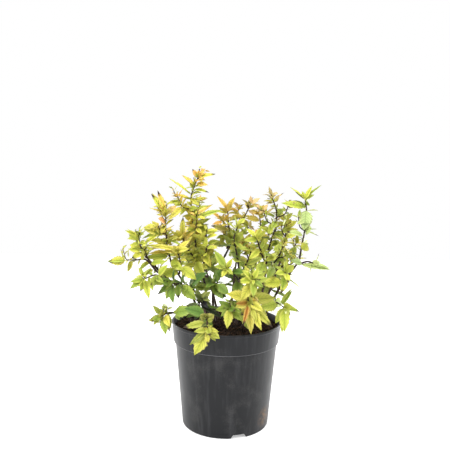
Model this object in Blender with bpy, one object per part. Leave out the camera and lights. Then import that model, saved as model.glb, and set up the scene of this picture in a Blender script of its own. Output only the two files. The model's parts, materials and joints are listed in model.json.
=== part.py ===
"""A golden-leaved spirea shrub in a round nursery pot, modelled in metres with +Z up.

The origin is the centre of the pot's flat underside. X runs to the right, Y runs away from the front
and Z runs up. Bare canes rise from the soil as tapering limbs. Every leafy shoot is one solid: a stem
that starts at its cane, side twigs, and leaves set in a spiral round them.
"""

import math
import random
from typing import NamedTuple

import bmesh
import bpy
from mathutils import Matrix, Vector
from mathutils.bvhtree import BVHTree

MM = 0.001
UP = Vector((0, 0, 1))
GAP = 0.3  # between solids that touch on the real plant, mm

# Pot, mm
POT_HEIGHT = 162.0
RIM_RADIUS = 85.0
COLLAR_HEIGHT = 32.0  # the thicker band below the rim
COLLAR_RADIUS = 81.5  # at the band's lower edge
BODY_RADIUS = 79.0  # just below the band
FOOT_RADIUS = 67.0
WALL = 1.5
LIP = 3.0  # the rim's thickness
SKIRT_HEIGHT = 6.5  # the ring that lifts the outer floor off the ground
SEAT_RADIUS = 44.0  # the flat middle of the floor, which stands on the ground
POT_SIDES = 36
NOTCHES = 3  # drain notches through the skirt
NOTCH_TURN = -72.5  # the front notch, degrees from +X
NOTCH_WIDTH = 25.0
NOTCH_FLARE = 4.0  # how far each side of a notch leans out at the ground
NOTCH_HEIGHT = 5.8
DRAINS = 6
DRAIN_RADIUS = 4.0
DRAIN_RING = 55.0

# Soil, mm
SOIL_EDGE = 151.0  # its height at the wall
SOIL_CROWN = 156.0  # its height in the middle
SOIL_LUMP = 0.6
SOIL_RINGS = 3
SOIL_SEED = 7

# Canes, mm
CANE_FOOT = 1.9
CANE_TIP = 1.3
FLARE = 1.5  # how much wider a cane is at the soil
FLARE_HEIGHT = 9.0
CANE_SIDES = 6
CANE_STEP = 15.0

# Stems and twigs of the leafy shoots, mm
STEM_RADIUS = 1.2
STEM_TIP = 0.65
STEM_STEP = 20.0
TWIG_RADIUS = 0.8
TWIG_TIP = 0.5
TWIG_STEP = 14.0
FIRST_TWIG = 0.22  # where the lowest twig may leave its stem, as a share of its length
TWIG_SPREAD = 0.5  # the share of the stem that carries twigs
TWIG_REACH = (0.22, 0.34)  # the lengths of twigs, as shares of their stem's length
TWIG_TRIES = 10
TRY_TURN = 67.0  # each further try for a twig turns it, degrees

# Leaves
LEAF_WAIST = 0.42  # the widest place, as a share of the length
LEAF_THICKNESS = 0.5  # mm
NARROWEST = 0.4  # the width of the smallest leaves, as a share of their length
WIDEST = 0.68  # and of the broadest
BROADENING = 0.008  # what each further mm of length adds to that share
LEAF_SINK = 0.12  # how far a leaf's root passes its stem's middle line, mm
LEAF_FOLD = 0.22  # how far the margins rise, as a share of the half width
GOLDEN_TURN = 137.5  # from each leaf to the next round its stem, degrees
CLEARANCE = 0.45  # least space between the leaves of two shoots, mm
SMALLEST_LEAF = 9.0  # mm
SHORTENING = 0.36  # how much shorter the leaves at a tip are
LONGEST_AT = 0.3  # leaves shorten beyond this share of their stem
OUTER_PART = 0.25  # leaves of one shoot may touch below this share of their length


class Cane(NamedTuple):
    """A bare limb: where it leaves the soil, and the points that it passes, mm."""

    foot: tuple
    route: tuple


class Shoot(NamedTuple):
    """A leafy shoot: its cane, how far along that it starts, and the points that its stem passes, mm."""

    cane: str
    start: float
    route: tuple
    leaf: float  # the length of its largest leaves, mm
    seed: int
    twigs: int = 0
    rosette: int = 5  # leaves round the tip
    spacing: float = 10.0  # along the stem, mm
    bare: float = 6.0  # stem below the lowest leaf, mm
    tips: tuple = ()  # marked leaves: each one's tip and width, mm, and how far it faces the front


class Leaf(NamedTuple):
    """A leaf's place: its root, the way it points, its upper side, and its length, width and droop."""

    root: Vector
    along: Vector
    normal: Vector
    length: float
    width: float
    droop: float


CANES = {
    "tall": Cane((-26, 0), ((-32, 5, 204), (-44, 11, 254))),
    "left": Cane((-32, -8), ((-41, -12, 200), (-65, -22, 225), (-84, -28, 256))),
    "low_left": Cane((-38, -17), ((-53, -28, 207), (-74, -40, 224), (-104, -48, 247))),
    "mid_left": Cane((-19, 10), ((-22, 16, 197), (-16, 25, 231), (2, 36, 269))),
    "middle": Cane((15, 4), ((22, 6, 200), (17, 8, 249))),
    "upright": Cane((32, 20), ((44, 38, 201), (52, 50, 245))),
    "mid_right": Cane((39, 1), ((55, -6, 211), (60, -10, 265))),
    "right": Cane((50, -9), ((80, -16, 217), (108, -20, 260))),
    "back_right": Cane((49, 15), ((69, 28, 204), (86, 40, 250))),
    "front_right": Cane((25, -16), ((33, -34, 199), (36, -46, 223))),
    "front": Cane((-27, -32), ((-35, -44, 188), (-32, -66, 194))),
    "low_front": Cane((-47, -26), ((-61, -40, 180), (-73, -50, 185))),
    "back_left": Cane((-12, 26), ((-24, 50, 197), (-39, 85, 234))),
    "back": Cane((6, 31), ((10, 60, 196), (15, 92, 233))),
}

SHOOTS = {
    "tall": Shoot(
        "tall", 1, ((-51, 13, 285), (-55, 14, 316), (-57, 14, 355), (-47, 12, 382)), 25, 19, 3,
        tips=(
            (-92, 14, 380, 8, 20), (-70, 12, 385, 9, 35), (-46, 12, 393, 9, 40), (-36, 12, 396, 10, 40),
            (-20, 10, 388, 10, 45), (-82, 8, 356, 9, 40), (-29, -2, 340, 12, 40), (-26, 0, 320, 14, 45),
        ),
    ),
    "tall_inner": Shoot("tall", 0.72, ((-36, 2, 252), (-32, -2, 279), (-33, -6, 300)), 33, 11, 1),
    "tall_right": Shoot(
        "tall", 0.55, ((-23, -10, 221), (-16, -16, 223)), 38, 6,
        tips=((3, -30, 208, 19, 65),),
    ),
    "tall_left": Shoot("tall", 0.8, ((-51, 0, 259), (-64, -6, 278), (-69, -10, 295)), 36, 14, 1),
    "left": Shoot(
        "left", 1, ((-89, -30, 278), (-92, -30, 305), (-92, -30, 329)), 27, 1, 2,
        tips=(
            (-113, -34, 359, 12, 50), (-104, -30, 364, 12, 40), (-76, -26, 342, 13, 55),
            (-102, -42, 323, 14, 60), (-124, -36, 306, 18, 55), (-116, -38, 291, 11, 50),
            (-123, -42, 266, 14, 60),
        ),
    ),
    "left_in": Shoot("left", 0.8, ((-70, -36, 258), (-74, -42, 278)), 35, 47),
    "left_low": Shoot("left", 0.55, ((-68, -40, 226), (-80, -54, 230)), 40, 82),
    "low_left": Shoot(
        "low_left", 1, ((-118, -52, 264), (-132, -54, 264), (-146, -55, 264)), 28, 95,
        tips=((-173, -58, 262, 14, 35),),
    ),
    "low_left_up": Shoot(
        "low_left", 0.86, ((-112, -42, 259), (-125, -42, 274), (-131, -42, 297)), 27, 82, 1,
        tips=((-147, -44, 308, 7, 10), (-121, -46, 312, 8, 20), (-140, -50, 266, 12, 60)),
    ),
    "low_left_under": Shoot(
        "low_left", 0.7, ((-104, -62, 244), (-118, -72, 240)), 31, 80,
        tips=((-138, -78, 227, 13, 50), (-110, -84, 214, 13, 60)),
    ),
    "mid_left": Shoot(
        "mid_left", 1, ((13, 38, 295), (26, 40, 319), (36, 42, 340)), 27, 62, 2,
        tips=((51, 38, 350, 11, 40), (27, 34, 340, 10, 40)),
    ),
    "mid_left_fork": Shoot(
        "mid_left", 0.9, ((3, 40, 285), (1, 43, 311), (-1, 45, 331)), 29, 22, 2,
        tips=(
            (-18, 42, 352, 10, 40), (11, 44, 350, 11, 40), (-24, 34, 329, 9, 30), (-27, 30, 305, 15, 50),
        ),
    ),
    "mid_left_low": Shoot("mid_left", 0.6, ((-27, 13, 251), (-33, 4, 266)), 33, 102),
    "middle": Shoot("middle", 1, ((13, 8, 271), (10, 6, 290), (15, 4, 309)), 31, 102, 1),
    "middle_left": Shoot("middle", 0.7, ((7, -10, 240), (-2, -26, 249)), 31, 57),
    "middle_right": Shoot("middle", 0.8, ((30, 0, 253), (37, -6, 275)), 33, 72),
    "upright": Shoot(
        "upright", 1, ((55, 56, 274), (54, 60, 299), (51, 60, 324)), 28, 94, 1,
        tips=((58, 56, 338, 11, 45), (34, 52, 325, 9, 30)),
    ),
    "upright_left": Shoot("upright", 0.75, ((34, 52, 251), (27, 60, 273)), 32, 34),
    "mid_right": Shoot(
        "mid_right", 1, ((65, -12, 287), (72, -14, 312), (72, -14, 336), (64, -14, 358)), 24, 91, 3,
        tips=(
            (83, -14, 362, 6, 20), (60, -14, 371, 7, 30), (52, -14, 349, 7, 30), (50, -20, 332, 9, 40),
            (44, -26, 313, 11, 45),
        ),
    ),
    "mid_right_in": Shoot("mid_right", 0.88, ((49, -20, 276), (43, -28, 295)), 34, 49, 1),
    "mid_right_out": Shoot("mid_right", 0.72, ((72, -14, 257), (80, -20, 273), (84, -24, 290)), 33, 20, 1),
    "right": Shoot(
        "right", 1, ((111, -20, 283), (115, -20, 307), (117, -20, 334), (114, -20, 353)), 28, 61, 1,
        tips=(
            (91, -20, 371, 8, 20), (99, -20, 364, 9, 30), (124, -20, 373, 9, 30), (138, -20, 375, 7, 20),
            (78, -26, 347, 17, 50), (123, -36, 312, 21, 70), (133, -22, 309, 6, 0),
        ),
    ),
    "right_out": Shoot(
        "right", 0.93, ((119, -24, 260), (130, -26, 258)), 27, 7,
        tips=((154, -28, 250, 8, 20),),
    ),
    "right_low": Shoot(
        "right", 0.62, ((87, -34, 241), (84, -48, 248)), 35, 39,
        tips=((80, -56, 224, 14, 60),),
    ),
    "right_rim": Shoot(
        "right", 0.35, ((76, -28, 197), (85, -40, 193)), 36, 74,
        tips=((84, -58, 161, 20, 65), (97, -40, 223, 8, 30)),
    ),
    "back_right": Shoot("back_right", 1, ((91, 48, 275), (95, 54, 301), (91, 56, 318)), 30, 17, 1),
    "back_right_out": Shoot("back_right", 0.75, ((99, 52, 252), (113, 66, 274)), 32, 62, 1),
    "back_right_low": Shoot("back_right", 0.45, ((81, 58, 214), (90, 84, 215)), 36, 87),
    "front_right": Shoot("front_right", 1, ((35, -64, 236), (36, -78, 243)), 35, 33, 1),
    "front_right_low": Shoot(
        "front_right", 0.62, ((30, -58, 214), (31, -72, 208)), 38, 81,
        tips=((34, -88, 166, 18, 80), (50, -84, 171, 17, 80), (66, -74, 172, 15, 70)),
    ),
    "front_right_left": Shoot(
        "front_right", 0.35, ((13, -50, 196), (4, -62, 197)), 34, 67,
        tips=((0, -82, 172, 17, 60),),
    ),
    "front": Shoot(
        "front", 1, ((-28, -84, 185), (-27, -94, 174)), 30, 17,
        tips=(
            (-61, -98, 177, 14, 55), (-44, -102, 139, 24, 80), (-9, -102, 164, 15, 60),
            (-38, -92, 194, 15, 75), (-18, -90, 195, 16, 75),
        ),
    ),
    "front_up": Shoot(
        "front", 0.45, ((-41, -48, 198), (-36, -54, 208)), 26, 84,
        tips=((-63, -46, 194, 13, 50), (-22, -52, 199, 12, 50)),
    ),
    "low_front": Shoot(
        "low_front", 1, ((-84, -60, 188), (-95, -68, 185)), 30, 91,
        tips=((-86, -78, 161, 16, 70), (-105, -76, 180, 13, 50)),
    ),
    "back_left": Shoot("back_left", 1, ((-50, 104, 258), (-58, 122, 273)), 33, 88, 1),
    "back_left_out": Shoot("back_left", 0.7, ((-63, 86, 237), (-87, 96, 245)), 36, 5, 1),
    "back": Shoot("back", 1, ((19, 112, 254), (22, 130, 268)), 33, 73, 1),
    "back_low": Shoot("back", 0.5, ((19, 98, 211), (27, 122, 208)), 38, 106),
}


def spline(points, step):
    """A smooth line through the points, with a point about every step."""
    points = [Vector(p) for p in points]
    ends = [2 * points[0] - points[1], *points, 2 * points[-1] - points[-2]]
    line = [points[0]]
    for a, b, c, d in zip(ends, ends[1:], ends[2:], ends[3:]):
        pieces = max(1, round((c - b).length / step))
        for i in range(1, pieces + 1):
            t = i / pieces
            bend = (2 * a - 5 * b + 4 * c - d) * t * t + (3 * b - a - 3 * c + d) * t * t * t
            line.append(b + 0.5 * ((c - a) * t + bend))
    return line


def tangents(line):
    """The direction of a line at each of its points."""
    ahead = [(b - a).normalized() for a, b in zip(line, line[1:])]
    return [(a + b).normalized() for a, b in zip([ahead[0], *ahead], [*ahead, ahead[-1]])]


def place_on(line, share):
    """The point and the direction at a share of a line's length."""
    lengths = [(b - a).length for a, b in zip(line, line[1:])]
    left = share * sum(lengths)
    for a, b, length in zip(line, line[1:], lengths):
        if left <= length:
            return a.lerp(b, left / length), (b - a).normalized()
        left -= length
    return line[-1].copy(), (line[-1] - line[-2]).normalized()


def tube(line, radii, sides):
    """The corners and faces of a closed limb along a line."""
    verts = []
    across = tangents(line)[0].orthogonal().normalized()
    for point, along, radius in zip(line, tangents(line), radii):
        across = (across - along * across.dot(along)).normalized()
        for k in range(sides):
            verts.append(point + Matrix.Rotation(math.tau * k / sides, 3, along) @ across * radius)
    faces = [tuple(range(sides))[::-1]]
    for ring in range(len(line) - 1):
        for k in range(sides):
            low, high = ring * sides, (ring + 1) * sides
            faces.append((low + k, low + (k + 1) % sides, high + (k + 1) % sides, high + k))
    faces.append(tuple(range(len(verts) - sides, len(verts))))
    return verts, faces


def leaf_point(leaf, u, v):
    """A place on a leaf: u runs from its root to its tip, and v from one margin to the other."""
    side = leaf.along.cross(leaf.normal)
    rise = LEAF_FOLD * abs(v) * leaf.width / 2 - leaf.droop * leaf.length * u * u
    return leaf.root + leaf.along * leaf.length * u + side * leaf.width / 2 * v + leaf.normal * rise


def blade(leaf, grow=0.0, first=None):
    """A leaf's thin closed solid of eight faces, or with grow a larger one to test for room."""
    wide = 1 + 2 * grow / leaf.width
    start = -LEAF_SINK / leaf.length if first is None else first
    half = leaf.normal * (LEAF_THICKNESS / 2 + grow)
    rim = [
        leaf_point(leaf, start, 0),
        leaf_point(leaf, LEAF_WAIST, -wide),
        leaf_point(leaf, 1 + grow / leaf.length, 0),
        leaf_point(leaf, LEAF_WAIST, wide),
    ]
    middle = leaf_point(leaf, LEAF_WAIST, 0)
    faces = []
    for k in range(4):
        faces += [(4, k, (k + 1) % 4), (5, (k + 1) % 4, k)]
    return [*rim, middle + half, middle - half], faces


class Space:
    """The solids that are already in place, by the limb or shoot that they belong to."""

    def __init__(self):
        self.solids = []

    def add(self, owner, verts, faces):
        self.solids.append((owner, verts, faces))

    def tree(self, keep):
        """One search tree over the solids that keep allows, or None."""
        verts, faces = [], []
        for owner, points, corners in self.solids:
            if keep(owner):
                faces += [tuple(len(verts) + i for i in face) for face in corners]
                verts += points
        return BVHTree.FromPolygons(verts, faces) if faces else None


def touches(tree, verts, faces):
    return tree is not None and bool(tree.overlap(BVHTree.FromPolygons(verts, faces)))


def taper(line, wide, narrow):
    last = len(line) - 1
    return [wide + (narrow - wide) * i / last for i in range(last + 1)]


def soil_height(x, y):
    """The soil's even surface: a low dome."""
    share = min(1.0, math.hypot(x, y) / (COLLAR_RADIUS - WALL))
    return SOIL_CROWN - (SOIL_CROWN - SOIL_EDGE) * share * share


def highest_soil(x, y, reach):
    """The highest place of the lumpy soil within reach of a point."""
    verts, faces = soil_solid()
    tree = BVHTree.FromPolygons(verts, faces)
    heights = [corner.z for corner in verts if math.hypot(corner.x - x, corner.y - y) < reach]
    for k in range(24):
        angle = math.tau * k / 24
        above = Vector((x + reach * math.cos(angle), y + reach * math.sin(angle), POT_HEIGHT))
        heights.append(tree.ray_cast(above, -UP)[0].z)
    return max(heights)


def cane_line(cane):
    """A cane's middle line, which starts just above the soil."""
    height = highest_soil(*cane.foot, CANE_FOOT * FLARE) + GAP
    return spline([(*cane.foot, height), *cane.route], CANE_STEP)


def cane_radii(line):
    """A cane's radius at each point, with its flare at the soil."""
    radii = taper(line, CANE_FOOT, CANE_TIP)
    flared = []
    for point, radius in zip(line, radii):
        low = max(0.0, 1 - (point.z - line[0].z) / FLARE_HEIGHT)
        flared.append(radius * (1 + (FLARE - 1) * low * low))
    return flared


def cane_solid(cane):
    """A cane's limb, with its foot cut flat."""
    line = cane_line(cane)
    verts, faces = tube(line, cane_radii(line), CANE_SIDES)
    for corner in verts[:CANE_SIDES]:
        corner.z = line[0].z
    return verts, faces


def stem_line(shoot, space):
    """A shoot's stem, from 0.3 mm off its cane."""
    cane = cane_line(CANES[shoot.cane])
    root, _ = place_on(cane, shoot.start)
    tree = space.tree(lambda owner: owner == "cane_" + shoot.cane)
    away = (Vector(shoot.route[0]) - root).normalized()
    out = 0.0
    while True:
        line = spline([root + away * out, *shoot.route], STEM_STEP)
        first = tube([line[0].lerp(line[1], k / 6) for k in range(7)], [STEM_RADIUS] * 7, 3)
        if not touches(tree, *first) and min(tree.find_nearest(corner)[3] for corner in first[0]) >= GAP:
            return line
        out += 0.05


def side_twigs(shoot, line, rng, blocked):
    """The twigs that leave a shoot's stem, as lines that turn upward."""
    length = sum((b - a).length for a, b in zip(line, line[1:]))
    twigs = []
    turn = rng.uniform(0, 360)
    for k in range(shoot.twigs):
        share = FIRST_TWIG + TWIG_SPREAD * (k + rng.uniform(0.2, 0.8)) / shoot.twigs
        reach = rng.uniform(*TWIG_REACH) * length * (1.15 - 0.5 * share)
        for attempt in range(TWIG_TRIES):
            point, along = place_on(line, share)
            angle = math.radians(turn + TRY_TURN * attempt)
            out = Matrix.Rotation(angle, 3, along) @ along.orthogonal().normalized()
            bend = point + (along * 0.45 + out).normalized() * reach * 0.55
            end = bend + (along * 0.7 + out * 0.5 + UP * 0.5).normalized() * reach * 0.6
            twig = spline([point, bend, end], TWIG_STEP)
            body = tube(twig, [TWIG_RADIUS + CLEARANCE] * len(twig), 3)
            if not touches(blocked, *body):
                twigs.append(twig)
                break
        turn += GOLDEN_TURN + rng.uniform(-25, 25)
    return twigs


def leaf_length(shoot, share, rng):
    """Leaves are longest low on their stem and shorten to its tip."""
    beyond = max(0.0, share - LONGEST_AT) / (1 - LONGEST_AT)
    return shoot.leaf * (1 - SHORTENING * beyond) * rng.uniform(0.85, 1.12)


def make_leaf(root, along, facing, length, droop, width=None):
    """A leaf that faces as nearly as it can the way given. Longer leaves are broader ones."""
    normal = (facing - along * facing.dot(along)).normalized()
    width = width or length * min(WIDEST, NARROWEST + BROADENING * length)
    return Leaf(root, along, normal, length, width, droop)


def outward(point):
    """The level direction from the plant's middle to a point, which leaves turn their faces to."""
    level = Vector((point.x, point.y, 0))
    return level / (level.length + 20)


def marked_leaves(shoot, lines):
    """The leaves whose tips are given. Each takes the shortest way from a stem that leans out enough."""
    leaves = []
    for x, y, z, width, lean in shoot.tips:
        tip = Vector((x, y, z))
        best = None
        for line in lines:
            for k in range(3, 41):
                root, along = place_on(line, k / 40)
                way = tip - root
                miss = max(0.0, abs(math.degrees(way.angle(along)) - 45) - 30) + 1.5 * way.length
                if best is None or miss < best[0]:
                    best = (miss, root, way)
        _, root, way = best
        front = math.radians(lean)
        facing = UP * math.cos(front) - Vector((0, 1, 0)) * math.sin(front)
        leaves.append(make_leaf(root, way.normalized(), facing, way.length, 0.0, width))
    return leaves


class Manner(NamedTuple):
    """How a stem or a twig carries its leaves, as shares of the shoot's own figures."""

    size: float
    spacing: float
    rosette: float


MAIN_STEM = Manner(1.0, 1.0, 1.0)
SIDE_TWIG = Manner(0.82, 0.9, 0.6)
# The tries for one leaf, until it has room: turned round its stem, shortened, and lowered
TRIES = (
    (0, 1, 0), (22, 1, 0), (-22, 1, 0), (0, 0.9, 25), (45, 0.9, 0), (-45, 0.9, 0),
    (70, 0.8, 10), (-70, 0.8, 10), (20, 0.65, -15), (-20, 0.65, 25), (130, 0.7, 0),
)


def spiral_leaves(shoot, line, rng, manner):
    """The leaves that one stem or twig carries by rule, as the tries for each leaf in turn."""
    length = sum((b - a).length for a, b in zip(line, line[1:]))
    spacing = shoot.spacing * manner.spacing
    rosette = round(shoot.rosette * manner.rosette)
    bare = shoot.bare
    count = max(0, int((length - bare) / spacing))
    turn = rng.uniform(0, 360)
    for k in range(count + rosette):
        at_tip = k >= count
        share = 1.0 if at_tip else (bare + spacing * (k + rng.uniform(-0.2, 0.2))) / length
        share = min(1.0, max(0.06, share))
        if at_tip:
            share -= 0.03 * (rosette - 1 - (k - count)) * (1 if length > 30 else 2)
            lift = rng.uniform(10, 60)
        else:
            lift = rng.uniform(-30, 35)
        size = leaf_length(shoot, share, rng) * manner.size
        root, along = place_on(line, share)
        droop = rng.uniform(0.04, 0.2)
        sway = rng.uniform(-0.5, 0.5)
        tries = []
        for shift, less, lower in TRIES:
            spin = Matrix.Rotation(math.radians(turn + shift), 3, along)
            out = spin @ along.orthogonal().normalized()
            rise = math.radians(lift - lower)
            way = (out * math.cos(rise) + along * math.sin(rise)).normalized()
            facing = UP * 0.5 + outward(root) * 0.8 + along * 0.2 + way.cross(along) * sway
            tries.append(make_leaf(root, way, facing, size * less, droop))
        yield tries
        turn += GOLDEN_TURN + rng.uniform(-16, 16)


class Growth:
    """A shoot as it grows: its stem, its twigs and its leaves."""

    def __init__(self, name, shoot, space):
        self.name = name
        self.shoot = shoot
        self.lines = [stem_line(shoot, space)]
        self.leaves = []
        self.outer = Space()
        self.others = None
        space.add(name, *tube(self.lines[0], taper(self.lines[0], STEM_RADIUS, STEM_TIP), 3))

    def look_round(self, space):
        """Notes what the rest of the plant fills."""
        self.others = space.tree(lambda owner: owner != self.name)

    def keep(self, leaf):
        self.leaves.append(leaf)
        self.outer.add(self.name, *blade(leaf, 0.0, OUTER_PART))

    def has_room(self, leaf):
        if leaf.length < SMALLEST_LEAF or touches(self.others, *blade(leaf, CLEARANCE)):
            return False
        return not touches(self.outer.tree(lambda owner: True), *blade(leaf, 0.0, OUTER_PART))

    def add_marked(self, space):
        self.look_round(space)
        for leaf in marked_leaves(self.shoot, self.lines):
            if not touches(self.others, *blade(leaf, CLEARANCE)):
                self.keep(leaf)
                space.add(self.name, *blade(leaf))

    def add_by_rule(self, space):
        """The side twigs, then each leaf by the first try that has room, or none."""
        self.look_round(space)
        rng = random.Random(self.shoot.seed)
        self.lines += side_twigs(self.shoot, self.lines[0], rng, self.others)
        marked = len(self.leaves)
        for line in self.lines:
            manner = MAIN_STEM if line is self.lines[0] else SIDE_TWIG
            for tries in spiral_leaves(self.shoot, line, rng, manner):
                found = next((leaf for leaf in tries if self.has_room(leaf)), None)
                if found:
                    self.keep(found)
        for twig in self.lines[1:]:
            space.add(self.name, *tube(twig, taper(twig, TWIG_RADIUS, TWIG_TIP), 3))
        for leaf in self.leaves[marked:]:
            space.add(self.name, *blade(leaf))


def grow_plant():
    """Every limb, stem and leaf in its place, each clear of those placed before it."""
    space = Space()
    space.add("soil", *soil_solid())
    space.add("pot", *lathe(pot_outline(), POT_SIDES))
    for name, cane in CANES.items():
        space.add("cane_" + name, *cane_solid(cane))
    growths = [Growth(name, shoot, space) for name, shoot in SHOOTS.items()]
    for growth in growths:
        growth.add_marked(space)
    for growth in growths:
        growth.add_by_rule(space)
    return growths


def lathe(outline, sides):
    """The corners and faces of a turned solid whose outline starts and ends on the axis."""
    verts = [Vector((0, 0, outline[0][1]))]
    for radius, height in outline[1:-1]:
        for k in range(sides):
            angle = math.tau * k / sides
            verts.append(Vector((radius * math.cos(angle), radius * math.sin(angle), height)))
    verts.append(Vector((0, 0, outline[-1][1])))
    faces = []
    last = len(outline) - 3
    for k in range(sides):
        after = (k + 1) % sides
        faces.append((0, 1 + after, 1 + k))
        for ring in range(last):
            low, high = 1 + ring * sides, 1 + (ring + 1) * sides
            faces.append((low + k, low + after, high + after, high + k))
        faces.append((len(verts) - 1, 1 + last * sides + k, 1 + last * sides + after))
    return verts, faces


def wall_radius(height):
    """The outside of the pot's tapered body."""
    return FOOT_RADIUS + (BODY_RADIUS - FOOT_RADIUS) * height / (POT_HEIGHT - COLLAR_HEIGHT)


def pot_inside():
    """The inside of the pot, from the middle of its floor to the foot of its lip."""
    floor = SKIRT_HEIGHT + WALL
    seam = POT_HEIGHT - COLLAR_HEIGHT
    return [
        (SEAT_RADIUS - WALL, WALL),
        (SEAT_RADIUS + WALL, floor),
        (wall_radius(floor) - WALL, floor),
        (BODY_RADIUS - WALL, seam - WALL),
        (COLLAR_RADIUS - WALL, seam + WALL),
    ]


def pot_outline():
    """The pot's whole outline, from the middle of its underside, up the outside and down the inside."""
    seam = POT_HEIGHT - COLLAR_HEIGHT
    edge = 0.6
    return [
        (0, 0),
        (SEAT_RADIUS, 0),
        (SEAT_RADIUS + 2 * WALL, SKIRT_HEIGHT),
        (wall_radius(SKIRT_HEIGHT) - WALL, SKIRT_HEIGHT),
        (FOOT_RADIUS - WALL, 0),
        (FOOT_RADIUS - edge, 0),
        (wall_radius(edge), edge),
        (BODY_RADIUS, seam),
        (COLLAR_RADIUS, seam + 1),
        (RIM_RADIUS - edge, POT_HEIGHT - LIP - edge),
        (RIM_RADIUS, POT_HEIGHT - LIP),
        (RIM_RADIUS, POT_HEIGHT - edge),
        (RIM_RADIUS - edge, POT_HEIGHT),
        (RIM_RADIUS - LIP + edge, POT_HEIGHT),
        (RIM_RADIUS - LIP, POT_HEIGHT - edge),
        *reversed(pot_inside()),
        (0, WALL),
    ]


def soil_solid():
    """The root ball and soil, 0.3 mm inside the pot, with a slightly lumpy domed top."""
    rng = random.Random(SOIL_SEED)
    sides = [(radius - GAP, height + GAP) for radius, height in pot_inside()]
    top_radius = COLLAR_RADIUS - WALL - GAP
    rings = [top_radius * (SOIL_RINGS - k) / SOIL_RINGS for k in range(SOIL_RINGS)]
    tops = [(radius, soil_height(radius, 0)) for radius in rings]
    verts, faces = lathe([(0, WALL + GAP), *sides, *tops, (0, SOIL_CROWN)], POT_SIDES)
    for corner in verts[1 + (len(sides) + 1) * POT_SIDES : -1]:
        corner.z += rng.uniform(-SOIL_LUMP, SOIL_LUMP)
    halves = []
    for first, *rest in faces:
        halves += [(first, a, b) for a, b in zip(rest, rest[1:])]
    return verts, halves


def notch_cutter(turn):
    """A wedge that cuts one drain notch through the skirt."""
    wide = NOTCH_WIDTH / 2 + 1
    narrow = NOTCH_WIDTH / 2 - NOTCH_FLARE
    spin = Matrix.Rotation(math.radians(turn), 3, "Z")
    verts = []
    for radius in (FOOT_RADIUS - 7, FOOT_RADIUS + 7):
        for y, z in ((-wide, -2), (wide, -2), (narrow, NOTCH_HEIGHT), (-narrow, NOTCH_HEIGHT)):
            verts.append(spin @ Vector((radius, y, z)))
    faces = [(3, 2, 1, 0), (4, 5, 6, 7), (0, 1, 5, 4), (1, 2, 6, 5), (2, 3, 7, 6), (3, 0, 4, 7)]
    return verts, faces


def drain_cutter(turn):
    """A round drain hole through the raised floor beside the skirt."""
    line = [Vector((DRAIN_RING, 0, z + SKIRT_HEIGHT)) for z in (-2, WALL + 2)]
    verts, faces = tube(line, [DRAIN_RADIUS] * 2, 12)
    spin = Matrix.Rotation(math.radians(turn), 3, "Z")
    return [spin @ corner for corner in verts], faces


def mesh_object(name, verts, faces, collection=None):
    """A mesh object from corners in mm."""
    mesh = bpy.data.meshes.new(name)
    mesh.from_pydata([corner * MM for corner in verts], [], faces)
    thing = bpy.data.objects.new(name, mesh)
    (collection or bpy.context.scene.collection).objects.link(thing)
    return thing


def material(name, colour, roughness):
    made = bpy.data.materials.new(name)
    made.use_nodes = True
    shader = made.node_tree.nodes["Principled BSDF"]
    shader.inputs["Base Color"].default_value = (*colour, 1)
    shader.inputs["Roughness"].default_value = roughness
    shader.inputs["Metallic"].default_value = 0
    return made


def finish(thing, look, sharp=35):
    thing.data.materials.clear()
    thing.data.materials.append(look)
    thing.data.shade_smooth()
    thing.data.set_sharp_from_angle(angle=math.radians(sharp))


def largest_body(mesh):
    """Drops loose scraps and fills sealed hollows: only the largest shell stays."""
    work = bmesh.new()
    work.from_mesh(mesh)
    left = set(work.faces)
    shells = []
    while left:
        shell = {left.pop()}
        edge_of = list(shell)
        while edge_of:
            face = edge_of.pop()
            for edge in face.edges:
                for other in edge.link_faces:
                    if other in left:
                        left.discard(other)
                        shell.add(other)
                        edge_of.append(other)
        shells.append(shell)
    shells.sort(key=len, reverse=True)
    extra = [face for shell in shells[1:] for face in shell]
    bmesh.ops.delete(work, geom=extra, context="FACES")
    work.to_mesh(mesh)
    work.free()


def fused(name, solids):
    """One closed solid from a stem and the twigs and leaves that are rooted in it."""
    operands = bpy.data.collections.new(name + "_pieces")
    bpy.context.scene.collection.children.link(operands)
    base = mesh_object(name, *solids[0])
    for k, solid in enumerate(solids[1:]):
        mesh_object(f"{name}_piece_{k}", *solid, collection=operands)
    join = base.modifiers.new("Join", "BOOLEAN")
    join.operation = "UNION"
    join.operand_type = "COLLECTION"
    join.collection = operands
    join.solver = "EXACT"
    ready = base.evaluated_get(bpy.context.evaluated_depsgraph_get())
    joined = bpy.data.meshes.new_from_object(ready)
    base.modifiers.clear()
    for piece in list(operands.objects):
        bpy.data.objects.remove(piece)
    bpy.data.collections.remove(operands)
    largest_body(joined)
    base.data = joined
    joined.name = name
    return base


def shoot_object(growth, look):
    solids = [tube(growth.lines[0], taper(growth.lines[0], STEM_RADIUS, STEM_TIP), 3)]
    for twig in growth.lines[1:]:
        solids.append(tube(twig, taper(twig, TWIG_RADIUS, TWIG_TIP), 3))
    solids += [blade(leaf) for leaf in growth.leaves]
    finish(fused("leaves_" + growth.name, solids), look, 25)


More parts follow.
